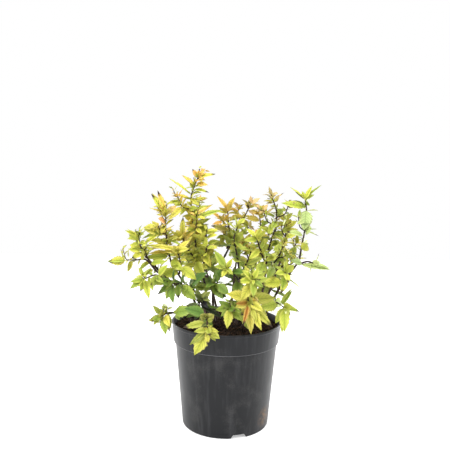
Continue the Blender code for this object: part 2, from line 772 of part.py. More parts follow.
def pot_object():
    pot = mesh_object("pot", *lathe(pot_outline(), POT_SIDES))
    verts, faces = [], []
    for k in range(NOTCHES):
        notch = notch_cutter(NOTCH_TURN + 360 * k / NOTCHES)
        faces += [tuple(len(verts) + i for i in face) for face in notch[1]]
        verts += notch[0]
    for k in range(DRAINS):
        drain = drain_cutter(NOTCH_TURN + 360 * (k + 0.5) / DRAINS)
        faces += [tuple(len(verts) + i for i in face) for face in drain[1]]
        verts += drain[0]
    cutter = mesh_object("pot_cutter", verts, faces)
    cutter.hide_render = True
    cutter.display_type = "WIRE"
    cut = pot.modifiers.new("Drainage", "BOOLEAN")
    cut.operation = "DIFFERENCE"
    cut.object = cutter
    cut.solver = "EXACT"
    finish(pot, material("Black plastic", (0.06, 0.06, 0.062), 0.45))


def build():
    for thing in list(bpy.data.objects):
        bpy.data.objects.remove(thing)
    pot_object()
    finish(mesh_object("soil", *soil_solid()), material("Peat", (0.035, 0.024, 0.017), 0.95))
    bark = material("Cane bark", (0.10, 0.05, 0.035), 0.7)
    for name, cane in CANES.items():
        finish(mesh_object("cane_" + name, *cane_solid(cane)), bark)
    foliage = material("Golden foliage", (0.42, 0.52, 0.08), 0.55)
    for growth in grow_plant():
        shoot_object(growth, foliage)


if __name__ == "__main__":
    build()
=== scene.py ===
# Golden-leaved spirea in a round nursery pot: fine leaves, twigs, bark, soil, plastic and light
import json
import math
import random

import bmesh
import bpy
from mathutils import Matrix, Vector, noise
from mathutils.bvhtree import BVHTree

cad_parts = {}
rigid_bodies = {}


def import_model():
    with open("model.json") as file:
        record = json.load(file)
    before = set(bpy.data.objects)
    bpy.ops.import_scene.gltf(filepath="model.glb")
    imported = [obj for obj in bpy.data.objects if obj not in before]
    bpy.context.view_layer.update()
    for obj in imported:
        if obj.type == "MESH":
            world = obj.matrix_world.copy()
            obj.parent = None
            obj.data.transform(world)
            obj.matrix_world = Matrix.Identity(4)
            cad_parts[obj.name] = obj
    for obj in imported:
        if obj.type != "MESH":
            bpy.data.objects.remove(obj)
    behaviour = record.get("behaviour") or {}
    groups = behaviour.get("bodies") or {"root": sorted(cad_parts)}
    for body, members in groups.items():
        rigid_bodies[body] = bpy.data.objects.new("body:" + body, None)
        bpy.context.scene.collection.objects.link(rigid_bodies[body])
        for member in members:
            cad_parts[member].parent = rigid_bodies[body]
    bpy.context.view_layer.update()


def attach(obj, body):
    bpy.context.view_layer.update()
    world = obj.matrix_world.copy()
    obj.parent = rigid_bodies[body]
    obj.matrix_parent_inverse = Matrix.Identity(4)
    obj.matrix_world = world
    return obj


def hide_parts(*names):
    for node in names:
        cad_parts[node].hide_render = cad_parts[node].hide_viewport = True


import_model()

mm = 0.001
up = Vector((0, 0, 1))
gap = 0.3  # mm, between a stem and its cane, and round the soil

potSize = dict(
    height=162.0, rim=85.0, collarHeight=32.0, collar=81.5, body=79.0, foot=67.0, wall=1.5, lip=3.0, edge=0.6,
    skirt=6.5, seat=44.0, planSides=36, fineSides=180, bead=0.9,
    notches=3, notchTurn=-72.5, notchWidth=25.0, notchFlare=4.0, notchHeight=5.8, notchReach=7.0,
    drains=6, drainRadius=4.0, drainRing=55.0, drainSides=24, past=2.0,  # past: how far the cuts reach out
)
soilSize = dict(edge=151.0, crown=156.0, lump=0.6, rings=3, seed=7)
caneSize = dict(foot=1.9, tip=1.3, flare=1.5, flareHeight=9.0, sides=6, step=15.0, rays=24)
stemSize = dict(foot=1.2, tip=0.65, step=20.0, twigFoot=0.8, twigTip=0.5, twigStep=14.0, probes=6, nudge=0.05)
twigRule = dict(
    first=0.22, spread=0.5, jitter=(0.2, 0.8), reach=(0.22, 0.34), longest=1.15, shorten=0.5, tries=10,
    tryTurn=67.0, turns=(-25, 25), lean=0.45, bendAt=0.55, onward=(0.7, 0.5, 0.5), tipAt=0.6,
)
leafRule = dict(
    waist=0.42, thickness=0.5, narrowest=0.4, widest=0.68, broadening=0.008, sink=0.12, fold=0.22,
    goldenTurn=137.5, turns=(-16, 16), clearance=0.45, smallest=9.0, shortening=0.36, longestAt=0.3,
    outerPart=0.25, rosette=5, tipStep=0.03, shortStem=30, spacing=10.0, jitter=(-0.2, 0.2), bare=6.0,
    lowest=0.06, lift=(-30, 35), tipLift=(10, 60), sizes=(0.85, 1.12), droop=(0.04, 0.2), sway=(-0.5, 0.5),
    facing=(0.5, 0.8, 0.2), inner=20,  # facing: how far a leaf faces up, outward and on along its stem
    onTwigs=(0.82, 0.9, 0.6),  # the size, spacing and crowd of a twig's leaves
    tries=(
        (0, 1, 0), (22, 1, 0), (-22, 1, 0), (0, 0.9, 25), (45, 0.9, 0), (-45, 0.9, 0),
        (70, 0.8, 10), (-70, 0.8, 10), (20, 0.65, -15), (-20, 0.65, 25), (130, 0.7, 0),
    ),  # each try turns the leaf round its stem, shortens it and lowers it
)
markRule = dict(first=3, places=40, angle=45, spread=30, perLength=1.5)

# Each bare cane: where it leaves the soil, and the points that it passes, mm
caneRoutes = {
    "tall": ((-26, 0), ((-32, 5, 204), (-44, 11, 254))),
    "left": ((-32, -8), ((-41, -12, 200), (-65, -22, 225), (-84, -28, 256))),
    "low_left": ((-38, -17), ((-53, -28, 207), (-74, -40, 224), (-104, -48, 247))),
    "mid_left": ((-19, 10), ((-22, 16, 197), (-16, 25, 231), (2, 36, 269))),
    "middle": ((15, 4), ((22, 6, 200), (17, 8, 249))),
    "upright": ((32, 20), ((44, 38, 201), (52, 50, 245))),
    "mid_right": ((39, 1), ((55, -6, 211), (60, -10, 265))),
    "right": ((50, -9), ((80, -16, 217), (108, -20, 260))),
    "back_right": ((49, 15), ((69, 28, 204), (86, 40, 250))),
    "front_right": ((25, -16), ((33, -34, 199), (36, -46, 223))),
    "front": ((-27, -32), ((-35, -44, 188), (-32, -66, 194))),
    "low_front": ((-47, -26), ((-61, -40, 180), (-73, -50, 185))),
    "back_left": ((-12, 26), ((-24, 50, 197), (-39, 85, 234))),
    "back": ((6, 31), ((10, 60, 196), (15, 92, 233))),
}


def shoot(cane, start, route, leaf, seed, twigs=0, tips=()):
    return dict(cane=cane, start=start, route=route, leaf=leaf, seed=seed, twigs=twigs, tips=tips)


# Each leafy shoot: its cane, where on it, its route, its leaf length, seed, twigs and marked leaf tips, mm
shoots = {
    "tall": shoot("tall", 1, ((-51, 13, 285), (-55, 14, 316), (-57, 14, 355), (-47, 12, 382)), 25, 19, 3, (
        (-92, 14, 380, 8, 20), (-70, 12, 385, 9, 35), (-46, 12, 393, 9, 40), (-36, 12, 396, 10, 40),
        (-20, 10, 388, 10, 45), (-82, 8, 356, 9, 40), (-29, -2, 340, 12, 40), (-26, 0, 320, 14, 45),
    )),
    "tall_inner": shoot("tall", 0.72, ((-36, 2, 252), (-32, -2, 279), (-33, -6, 300)), 33, 11, 1),
    "tall_right": shoot("tall", 0.55, ((-23, -10, 221), (-16, -16, 223)), 38, 6, 0, (
        (3, -30, 208, 19, 65),
    )),
    "tall_left": shoot("tall", 0.8, ((-51, 0, 259), (-64, -6, 278), (-69, -10, 295)), 36, 14, 1),
    "left": shoot("left", 1, ((-89, -30, 278), (-92, -30, 305), (-92, -30, 329)), 27, 1, 2, (
        (-113, -34, 359, 12, 50), (-104, -30, 364, 12, 40), (-76, -26, 342, 13, 55),
        (-102, -42, 323, 14, 60), (-124, -36, 306, 18, 55), (-116, -38, 291, 11, 50),
        (-123, -42, 266, 14, 60),
    )),
    "left_in": shoot("left", 0.8, ((-70, -36, 258), (-74, -42, 278)), 35, 47),
    "left_low": shoot("left", 0.55, ((-68, -40, 226), (-80, -54, 230)), 40, 82),
    "low_left": shoot("low_left", 1, ((-118, -52, 264), (-132, -54, 264), (-146, -55, 264)), 28, 95, 0, (
        (-173, -58, 262, 14, 35),
    )),
    "low_left_up": shoot(
        "low_left", 0.86, ((-112, -42, 259), (-125, -42, 274), (-131, -42, 297)), 27, 82, 1, (
            (-147, -44, 308, 7, 10), (-121, -46, 312, 8, 20), (-140, -50, 266, 12, 60),
        )),
    "low_left_under": shoot("low_left", 0.7, ((-104, -62, 244), (-118, -72, 240)), 31, 80, 0, (
        (-138, -78, 227, 13, 50), (-110, -84, 214, 13, 60),
    )),
    "mid_left": shoot("mid_left", 1, ((13, 38, 295), (26, 40, 319), (36, 42, 340)), 27, 62, 2, (
        (51, 38, 350, 11, 40), (27, 34, 340, 10, 40),
    )),
    "mid_left_fork": shoot("mid_left", 0.9, ((3, 40, 285), (1, 43, 311), (-1, 45, 331)), 29, 22, 2, (
        (-18, 42, 352, 10, 40), (11, 44, 350, 11, 40), (-24, 34, 329, 9, 30), (-27, 30, 305, 15, 50),
    )),
    "mid_left_low": shoot("mid_left", 0.6, ((-27, 13, 251), (-33, 4, 266)), 33, 102),
    "middle": shoot("middle", 1, ((13, 8, 271), (10, 6, 290), (15, 4, 309)), 31, 102, 1),
    "middle_left": shoot("middle", 0.7, ((7, -10, 240), (-2, -26, 249)), 31, 57),
    "middle_right": shoot("middle", 0.8, ((30, 0, 253), (37, -6, 275)), 33, 72),
    "upright": shoot("upright", 1, ((55, 56, 274), (54, 60, 299), (51, 60, 324)), 28, 94, 1, (
        (58, 56, 338, 11, 45), (34, 52, 325, 9, 30),
    )),
    "upright_left": shoot("upright", 0.75, ((34, 52, 251), (27, 60, 273)), 32, 34),
    "mid_right": shoot(
        "mid_right", 1, ((65, -12, 287), (72, -14, 312), (72, -14, 336), (64, -14, 358)), 24, 91, 3, (
            (83, -14, 362, 6, 20), (60, -14, 371, 7, 30), (52, -14, 349, 7, 30), (50, -20, 332, 9, 40),
            (44, -26, 313, 11, 45),
        )),
    "mid_right_in": shoot("mid_right", 0.88, ((49, -20, 276), (43, -28, 295)), 34, 49, 1),
    "mid_right_out": shoot("mid_right", 0.72, ((72, -14, 257), (80, -20, 273), (84, -24, 290)), 33, 20, 1),
    "right": shoot(
        "right", 1, ((111, -20, 283), (115, -20, 307), (117, -20, 334), (114, -20, 353)), 28, 61, 1, (
            (91, -20, 371, 8, 20), (99, -20, 364, 9, 30), (124, -20, 373, 9, 30), (138, -20, 375, 7, 20),
            (78, -26, 347, 17, 50), (123, -36, 312, 21, 70), (133, -22, 309, 6, 0),
        )),
    "right_out": shoot("right", 0.93, ((119, -24, 260), (130, -26, 258)), 27, 7, 0, (
        (154, -28, 250, 8, 20),
    )),
    "right_low": shoot("right", 0.62, ((87, -34, 241), (84, -48, 248)), 35, 39, 0, (
        (80, -56, 224, 14, 60),
    )),
    "right_rim": shoot("right", 0.35, ((76, -28, 197), (85, -40, 193)), 36, 74, 0, (
        (84, -58, 161, 20, 65), (97, -40, 223, 8, 30),
    )),
    "back_right": shoot("back_right", 1, ((91, 48, 275), (95, 54, 301), (91, 56, 318)), 30, 17, 1),
    "back_right_out": shoot("back_right", 0.75, ((99, 52, 252), (113, 66, 274)), 32, 62, 1),
    "back_right_low": shoot("back_right", 0.45, ((81, 58, 214), (90, 84, 215)), 36, 87),
    "front_right": shoot("front_right", 1, ((35, -64, 236), (36, -78, 243)), 35, 33, 1),
    "front_right_low": shoot("front_right", 0.62, ((30, -58, 214), (31, -72, 208)), 38, 81, 0, (
        (34, -88, 166, 18, 80), (50, -84, 171, 17, 80), (66, -74, 172, 15, 70),
    )),
    "front_right_left": shoot("front_right", 0.35, ((13, -50, 196), (4, -62, 197)), 34, 67, 0, (
        (0, -82, 172, 17, 60),
    )),
    "front": shoot("front", 1, ((-28, -84, 185), (-27, -94, 174)), 30, 17, 0, (
        (-61, -98, 177, 14, 55), (-44, -102, 139, 24, 80), (-9, -102, 164, 15, 60),
        (-38, -92, 194, 15, 75), (-18, -90, 195, 16, 75),
    )),
    "front_up": shoot("front", 0.45, ((-41, -48, 198), (-36, -54, 208)), 26, 84, 0, (
        (-63, -46, 194, 13, 50), (-22, -52, 199, 12, 50),
    )),
    "low_front": shoot("low_front", 1, ((-84, -60, 188), (-95, -68, 185)), 30, 91, 0, (
        (-86, -78, 161, 16, 70), (-105, -76, 180, 13, 50),
    )),
    "back_left": shoot("back_left", 1, ((-50, 104, 258), (-58, 122, 273)), 33, 88, 1),
    "back_left_out": shoot("back_left", 0.7, ((-63, 86, 237), (-87, 96, 245)), 36, 5, 1),
    "back": shoot("back", 1, ((19, 112, 254), (22, 130, 268)), 33, 73, 1),
    "back_low": shoot("back", 0.5, ((19, 98, 211), (27, 122, 208)), 38, 106),
}


# Lines and limbs

def spline(points, step):
    points = [Vector(p) for p in points]
    ends = [2 * points[0] - points[1], *points, 2 * points[-1] - points[-2]]
    line = [points[0]]
    for a, b, c, d in zip(ends, ends[1:], ends[2:], ends[3:]):
        pieces = max(1, round((c - b).length / step))
        for i in range(1, pieces + 1):
            t = i / pieces
            bend = (2 * a - 5 * b + 4 * c - d) * t * t + (3 * b - a - 3 * c + d) * t * t * t
            line.append(b + 0.5 * ((c - a) * t + bend))
    return line


def tangents(line):
    ahead = [(b - a).normalized() for a, b in zip(line, line[1:])]
    return [(a + b).normalized() for a, b in zip([ahead[0], *ahead], [*ahead, ahead[-1]])]


def lineLength(line):
    return sum((b - a).length for a, b in zip(line, line[1:]))


def placeOn(line, share):
    lengths = [(b - a).length for a, b in zip(line, line[1:])]
    left = share * sum(lengths)
    for a, b, length in zip(line, line[1:], lengths):
        if left <= length:
            return a.lerp(b, left / length), (b - a).normalized()
        left -= length
    return line[-1].copy(), (line[-1] - line[-2]).normalized()


def limb(line, radii, sides):
    verts = []
    across = tangents(line)[0].orthogonal().normalized()
    for point, along, radius in zip(line, tangents(line), radii):
        across = (across - along * across.dot(along)).normalized()
        for k in range(sides):
            verts.append(point + Matrix.Rotation(math.tau * k / sides, 3, along) @ across * radius)
    faces = [tuple(range(sides))[::-1]]
    for ring in range(len(line) - 1):
        for k in range(sides):
            low, high = ring * sides, (ring + 1) * sides
            faces.append((low + k, low + (k + 1) % sides, high + (k + 1) % sides, high + k))
    faces.append(tuple(range(len(verts) - sides, len(verts))))
    return verts, faces


def taper(line, wide, narrow):
    last = len(line) - 1
    return [wide + (narrow - wide) * i / last for i in range(last + 1)]


def turned(outline, sides):  # a lathed solid whose outline starts and ends on the axis
    verts = [Vector((0, 0, outline[0][1]))]
    for radius, height in outline[1:-1]:
        for k in range(sides):
            angle = math.tau * k / sides
            verts.append(Vector((radius * math.cos(angle), radius * math.sin(angle), height)))
    verts.append(Vector((0, 0, outline[-1][1])))
    faces = []
    last = len(outline) - 3
    for k in range(sides):
        after = (k + 1) % sides
        faces.append((0, 1 + after, 1 + k))
        for ring in range(last):
            low, high = 1 + ring * sides, 1 + (ring + 1) * sides
            faces.append((low + k, low + after, high + after, high + k))
        faces.append((len(verts) - 1, 1 + last * sides + k, 1 + last * sides + after))
    return verts, faces


def joined(solids):  # one list of corners and one of faces
    verts, faces = [], []
    for points, corners in solids:
        faces += [tuple(len(verts) + i for i in face) for face in corners]
        verts += points
    return verts, faces


def outFrom(along, turn):  # square to a line, that many degrees round it
    return Matrix.Rotation(math.radians(turn), 3, along) @ along.orthogonal().normalized()


# The plan of the pot and the soil, as the solids have them

def wallRadius(height):
    return potSize["foot"] + (potSize["body"] - potSize["foot"]) * height / (
        potSize["height"] - potSize["collarHeight"])


def insideLine():
    wall = potSize["wall"]
    floor = potSize["skirt"] + wall
    seam = potSize["height"] - potSize["collarHeight"]
    return [
        (potSize["seat"] - wall, wall),
        (potSize["seat"] + wall, floor),
        (wallRadius(floor) - wall, floor),
        (potSize["body"] - wall, seam - wall),
        (potSize["collar"] - wall, seam + wall),
    ]


def outsideLine():
    seam = potSize["height"] - potSize["collarHeight"]
    seat, foot = potSize["seat"], potSize["foot"]
    rim, lip, height, wall, edge = (potSize[key] for key in ("rim", "lip", "height", "wall", "edge"))
    return [
        (0, 0),
        (seat, 0),
        (seat + 2 * wall, potSize["skirt"]),
        (wallRadius(potSize["skirt"]) - wall, potSize["skirt"]),
        (foot - wall, 0),
        (foot - edge, 0),
        (wallRadius(edge), edge),
        (potSize["body"], seam),
        (potSize["collar"], seam + 1),
        (rim - edge, height - lip - edge),
        (rim, height - lip),
        (rim, height - edge),
        (rim - edge, height),
        (rim - lip + edge, height),
        (rim - lip, height - edge),
        *reversed(insideLine()),
        (0, wall),
    ]


def soilHeight(x, y):
    share = min(1.0, math.hypot(x, y) / (potSize["collar"] - potSize["wall"]))
    return soilSize["crown"] - (soilSize["crown"] - soilSize["edge"]) * share * share


def soilOutline(rings):  # its floor, its sides and that many rings over its top
    sides = [(radius - gap, height + gap) for radius, height in insideLine()]
    edge = potSize["collar"] - potSize["wall"] - gap
    radii = [edge * (rings - k) / rings for k in range(rings)]
    tops = [(radius, soilHeight(radius, 0)) for radius in radii]
    return [(0, potSize["wall"] + gap), *sides, *tops, (0, soilSize["crown"])]


def soilPlan():
    rng = random.Random(soilSize["seed"])
    verts, faces = turned(soilOutline(soilSize["rings"]), potSize["planSides"])
    below = 1 + (len(insideLine()) + 1) * potSize["planSides"]
    for corner in verts[below:-1]:
        corner.z += rng.uniform(-soilSize["lump"], soilSize["lump"])
    halves = []
    for first, *rest in faces:
        halves += [(first, a, b) for a, b in zip(rest, rest[1:])]
    return verts, halves


# How the plant grows: the same seeded rule as its solids

def highestSoil(x, y, reach):
    verts, faces = soilPlan()
    tree = BVHTree.FromPolygons(verts, faces)
    heights = [corner.z for corner in verts if math.hypot(corner.x - x, corner.y - y) < reach]
    for k in range(caneSize["rays"]):
        angle = math.tau * k / caneSize["rays"]
        above = Vector((x + reach * math.cos(angle), y + reach * math.sin(angle), potSize["height"]))
        heights.append(tree.ray_cast(above, -up)[0].z)
    return max(heights)


def caneLine(name):
    foot, route = caneRoutes[name]
    height = highestSoil(*foot, caneSize["foot"] * caneSize["flare"]) + gap
    return spline([(*foot, height), *route], caneSize["step"])


def caneRadii(line):
    radii = []
    for point, radius in zip(line, taper(line, caneSize["foot"], caneSize["tip"])):
        low = max(0.0, 1 - (point.z - line[0].z) / caneSize["flareHeight"])
        radii.append(radius * caneLook["thicker"] * (1 + (caneSize["flare"] - 1) * low * low))
    return radii


def caneSolid(line):
    verts, faces = limb(line, caneRadii(line), caneSize["sides"])
    for corner in verts[: caneSize["sides"]]:
        corner.z = line[0].z
    return verts, faces


def leafPoint(leaf, u, v):
    side = leaf["along"].cross(leaf["normal"])
    rise = leafRule["fold"] * abs(v) * leaf["width"] / 2 - leaf["droop"] * leaf["length"] * u * u
    flat = leaf["root"] + leaf["along"] * leaf["length"] * u + side * leaf["width"] / 2 * v
    return flat + leaf["normal"] * rise


def leafRoom(leaf, grow=0.0, first=None):  # the plain solid that a leaf keeps room for
    wide = 1 + 2 * grow / leaf["width"]
    start = -leafRule["sink"] / leaf["length"] if first is None else first
    half = leaf["normal"] * (leafRule["thickness"] / 2 + grow)
    waist = leafRule["waist"]
    rim = [
        leafPoint(leaf, start, 0),
        leafPoint(leaf, waist, -wide),
        leafPoint(leaf, 1 + grow / leaf["length"], 0),
        leafPoint(leaf, waist, wide),
    ]
    middle = leafPoint(leaf, waist, 0)
    faces = []
    for k in range(4):
        faces += [(4, k, (k + 1) % 4), (5, (k + 1) % 4, k)]
    return [*rim, middle + half, middle - half], faces


def outerRoom(leaf):  # the same, for leaves of one shoot, which may meet at their feet
    return leafRoom(leaf, 0.0, leafRule["outerPart"])


def treeOf(solids, skip=None):
    verts, faces = joined(solid[1:] for solid in solids if solid[0] != skip)
    return BVHTree.FromPolygons(verts, faces) if faces else None


def touches(tree, verts, faces):
    return tree is not None and bool(tree.overlap(BVHTree.FromPolygons(verts, faces)))


def stemLine(plan, cane):  # its foot moves out until the stem stands clear of the cane
    root, _ = placeOn(cane, plan["start"])
    tree = BVHTree.FromPolygons(*caneSolid(cane))
    away = (Vector(plan["route"][0]) - root).normalized()
    out, probes = 0.0, stemSize["probes"]
    while True:
        line = spline([root + away * out, *plan["route"]], stemSize["step"])
        first = [line[0].lerp(line[1], k / probes) for k in range(probes + 1)]
        body = limb(first, [stemSize["foot"]] * len(first), 3)
        if not touches(tree, *body) and min(tree.find_nearest(corner)[3] for corner in body[0]) >= gap:
            return line
        out += stemSize["nudge"]


def sideTwigs(plan, line, rng, blocked):
    rule = twigRule
    ahead, aside, rise = rule["onward"]
    length = lineLength(line)
    twigs = []
    turn = rng.uniform(0, 360)
    for k in range(plan["twigs"]):
        share = rule["first"] + rule["spread"] * (k + rng.uniform(*rule["jitter"])) / plan["twigs"]
        reach = rng.uniform(*rule["reach"]) * length * (rule["longest"] - rule["shorten"] * share)
        point, along = placeOn(line, share)
        for attempt in range(rule["tries"]):
            out = outFrom(along, turn + rule["tryTurn"] * attempt)
            bend = point + (along * rule["lean"] + out).normalized() * reach * rule["bendAt"]
            end = bend + (along * ahead + out * aside + up * rise).normalized() * reach * rule["tipAt"]
            twig = spline([point, bend, end], stemSize["twigStep"])
            body = limb(twig, [stemSize["twigFoot"] + leafRule["clearance"]] * len(twig), 3)
            if not touches(blocked, *body):
                twigs.append(twig)
                break
        turn += leafRule["goldenTurn"] + rng.uniform(*rule["turns"])
    return twigs


def makeLeaf(root, along, facing, length, droop, width=None):
    normal = (facing - along * facing.dot(along)).normalized()
    share = min(leafRule["widest"], leafRule["narrowest"] + leafRule["broadening"] * length)
    width = width or length * share
    return dict(root=root, along=along, normal=normal, length=length, width=width, droop=droop)


def outward(point):  # level, and weaker near the plant's axis
    level = Vector((point.x, point.y, 0))
    return level / (level.length + leafRule["inner"])


def markedLeaves(plan, lines):  # leaves whose tips show against the white ground
    rule = markRule
    leaves = []
    for mark, (x, y, z, width, lean, *place) in enumerate(plan["tips"]):
        tip = Vector((x, y, z))
        best = None
        for line in lines:
            for k in range(rule["first"], rule["places"] + 1):
                share = k / rule["places"]
                root, along = placeOn(line, share)
                way = tip - root
                off = abs(math.degrees(way.angle(along)) - rule["angle"]) - rule["spread"]
                miss = max(0.0, off) + rule["perLength"] * way.length
                if best is None or miss < best[0]:
                    best = (miss, root, way, share)
        _, root, way, share = best
        if place:
            share = place[0]
            root = placeOn(lines[0], share)[0]
            way = tip - root
        front = math.radians(lean)
        facing = up * math.cos(front) - Vector((0, 1, 0)) * math.sin(front)
        leaf = makeLeaf(root, way.normalized(), facing, way.length, 0.0, width)
        leaves.append(dict(leaf, share=share, mark=mark))
    return leaves


def spiralLeaves(plan, line, rng, size, closeness, crowd):
    rule = leafRule
    high, out, on = rule["facing"]
    length = lineLength(line)
    spacing = rule["spacing"] * closeness
    rosette = round(rule["rosette"] * crowd)
    count = max(0, int((length - rule["bare"]) / spacing))
    turn = rng.uniform(0, 360)
    for k in range(count + rosette):
        atTip = k >= count
        share = 1.0 if atTip else (rule["bare"] + spacing * (k + rng.uniform(*rule["jitter"]))) / length
        share = min(1.0, max(rule["lowest"], share))
        if atTip:
            share -= rule["tipStep"] * (rosette - 1 - (k - count)) * (1 if length > rule["shortStem"] else 2)
        lift = rng.uniform(*rule["tipLift" if atTip else "lift"])
        beyond = max(0.0, share - rule["longestAt"]) / (1 - rule["longestAt"])
        leafLength = plan["leaf"] * (1 - rule["shortening"] * beyond) * rng.uniform(*rule["sizes"]) * size
        root, along = placeOn(line, share)
        droop = rng.uniform(*rule["droop"])
        sway = rng.uniform(*rule["sway"])
        tries = []
        for shift, less, lower in rule["tries"]:
            rise = math.radians(lift - lower)
            way = outFrom(along, turn + shift) * math.cos(rise) + along * math.sin(rise)
            way.normalize()
            facing = up * high + outward(root) * out + along * on + way.cross(along) * sway
            tries.append(dict(makeLeaf(root, way, facing, leafLength * less, droop), share=share))
        yield tries
        turn += rule["goldenTurn"] + rng.uniform(*rule["turns"])


def hasRoom(leaf, others, outer):
    if leaf["length"] < leafRule["smallest"] or touches(others, *leafRoom(leaf, leafRule["clearance"])):
        return False
    return not touches(treeOf(outer), *outerRoom(leaf))


def growPlant():
    solids = [("soil", *soilPlan()), ("pot", *turned(outsideLine(), potSize["planSides"]))]
    canes = {name: caneLine(name) for name in caneRoutes}
    solids += [("cane_" + name, *caneSolid(line)) for name, line in canes.items()]
    grown = {}
    for name, plan in shoots.items():
        line = stemLine(plan, canes[plan["cane"]])
        grown[name] = dict(plan=plan, lines=[line], leaves=[], outer=[])
        solids.append((name, *limb(line, taper(line, stemSize["foot"], stemSize["tip"]), 3)))
    for name, one in grown.items():
        others = treeOf(solids, name)
        for leaf in markedLeaves(one["plan"], one["lines"]):
            if not touches(others, *leafRoom(leaf, leafRule["clearance"])):
                one["leaves"].append(leaf)
                one["outer"].append((name, *outerRoom(leaf)))
                solids.append((name, *leafRoom(leaf)))
    for name, one in grown.items():
        others = treeOf(solids, name)
        rng = random.Random(one["plan"]["seed"])
        one["lines"] += sideTwigs(one["plan"], one["lines"][0], rng, others)
        marked = len(one["leaves"])
        for k, line in enumerate(one["lines"]):
            manner = leafRule["onTwigs"] if k else (1.0, 1.0, 1.0)
            for tries in spiralLeaves(one["plan"], line, rng, *manner):
                found = next((leaf for leaf in tries if hasRoom(leaf, others, one["outer"])), None)
                if found:
                    one["leaves"].append(dict(found, onTwig=k > 0))
                    one["outer"].append((name, *outerRoom(found)))
        for twig in one["lines"][1:]:
            solids.append((name, *limb(twig, taper(twig, stemSize["twigFoot"], stemSize["twigTip"]), 3)))
        solids += [(name, *leafRoom(leaf)) for leaf in one["leaves"][marked:]]
    return canes, grown


# Meshes

def addObject(name, data, collection=None):
    thing = bpy.data.objects.new(name, data)
    (collection or bpy.context.scene.collection).objects.link(thing)
    return thing


def meshObject(name, verts, faces):
    mesh = bpy.data.meshes.new(name)
    mesh.from_pydata([corner * mm for corner in verts], [], faces)
    return addObject(name, mesh)


def writeValues(mesh, name, kind, values, domain="POINT"):
    field = "vector" if kind == "FLOAT_VECTOR" else "value"
    mesh.attributes.new(name, kind, domain).data.foreach_set(field, values)


def ballMesh(name, radius):
    mesh = bpy.data.meshes.new(name)
    work = bmesh.new()
    bmesh.ops.create_icosphere(work, subdivisions=1, radius=radius)
    work.to_mesh(mesh)
    work.free()
    return mesh


def shapeCollection(name, meshes):
    shapes = bpy.data.collections.new(name)
    for mesh in meshes:
        addObject(mesh.name, mesh, shapes)
    return shapes


def settle(thing):  # runs an object's modifiers once and gives the finished mesh
    mesh = bpy.data.meshes.new_from_object(thing.evaluated_get(bpy.context.evaluated_depsgraph_get()))
    thing.modifiers.clear()
    return mesh


def plainPiece(name, source, tree, inputs, materialSlot, *nodes):
    modifier = source.modifiers.new("Grow", "NODES")
    modifier.node_group = tree
    for item in tree.interface.items_tree:
        if item.item_type == "SOCKET" and item.in_out == "INPUT" and item.name in inputs:
            modifier[item.identifier] = inputs[item.name]
    mesh = settle(source)
    bpy.data.objects.remove(source)
    mesh.name = name
    return keepPiece(addObject(name, mesh), materialSlot, *nodes)


def keepPiece(piece, materialSlot, *nodes):
    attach(piece, "root")
    if nodes:
        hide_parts(*nodes)
    piece.data.shade_smooth()
    print("made", piece.name, len(piece.data.polygons), "faces")
    return piece


# Nodes, for the trees and the materials

def plug(tree, socket, value):
    if isinstance(value, bpy.types.NodeSocket):
        tree.links.new(value, socket)
    else:
        socket.default_value = value


def node(tree, kind, settings=None, **values):  # a node with its settings and its inputs by name
    made = tree.nodes.new(kind)
    for key, value in (settings or {}).items():
        setattr(made, key, value)
    for label, value in values.items():
        plug(tree, made.inputs[label.replace("_", " ")], value)
    return made


def calc(tree, operation, *values):
    made = node(tree, "ShaderNodeMath", {"operation": operation})
    for socket, value in zip(made.inputs, values):
        plug(tree, socket, value)
    return made.outputs[0]


def ramp(tree, value, low, high, **more):
    made = node(tree, "ShaderNodeMapRange", Value=value, From_Min=low, From_Max=high, **more)
    return made.outputs["Result"]


def noiseAt(tree, place, scale, detail, roughness=0.5):
    made = node(tree, "ShaderNodeTexNoise", Vector=place, Scale=scale, Detail=detail, Roughness=roughness)
    return made.outputs["Fac"]


def mixColours(tree, factor, a, b):
    mixed = node(tree, "ShaderNodeMix", {"data_type": "RGBA"})
    for socket, value in ((0, factor), (6, a), (7, b)):
        plug(tree, mixed.inputs[socket], (*value, 1) if isinstance(value, tuple) else value)
    return mixed.outputs[2]


def readValue(tree, name, kind="FLOAT"):
    return node(tree, "GeometryNodeInputNamedAttribute", {"data_type": kind}, Name=name).outputs["Attribute"]


def newTree(name, sockets):
    tree = bpy.data.node_groups.new(name, "GeometryNodeTree")
    tree.interface.new_socket("Geometry", in_out="INPUT", socket_type="NodeSocketGeometry")
    for label, kind in sockets:
        tree.interface.new_socket(label, in_out="INPUT", socket_type="NodeSocket" + kind)
    tree.interface.new_socket("Geometry", in_out="OUTPUT", socket_type="NodeSocketGeometry")
    return tree, tree.nodes.new("NodeGroupInput").outputs, tree.nodes.new("NodeGroupOutput").inputs


def painted(tree, geometry, material, **more):
    return node(
        tree, "GeometryNodeSetMaterial", Geometry=geometry, Material=material, **more).outputs["Geometry"]


def scattered(tree, points, shapes, index, turn, size):  # one of the shapes on each point
    kinds = node(
        tree, "GeometryNodeCollectionInfo", Collection=shapes, Separate_Children=True, Reset_Children=True)
    placed = node(
        tree, "GeometryNodeInstanceOnPoints", Points=points, Instance=kinds.outputs["Instances"],
        Pick_Instance=True, Instance_Index=index, Rotation=turn, Scale=size,
    )
    return node(
        tree, "GeometryNodeRealizeInstances", Geometry=placed.outputs["Instances"]).outputs["Geometry"]


def newMaterial(name):
    made = bpy.data.materials.new(name)
    made.use_nodes = True
    return made, made.node_tree


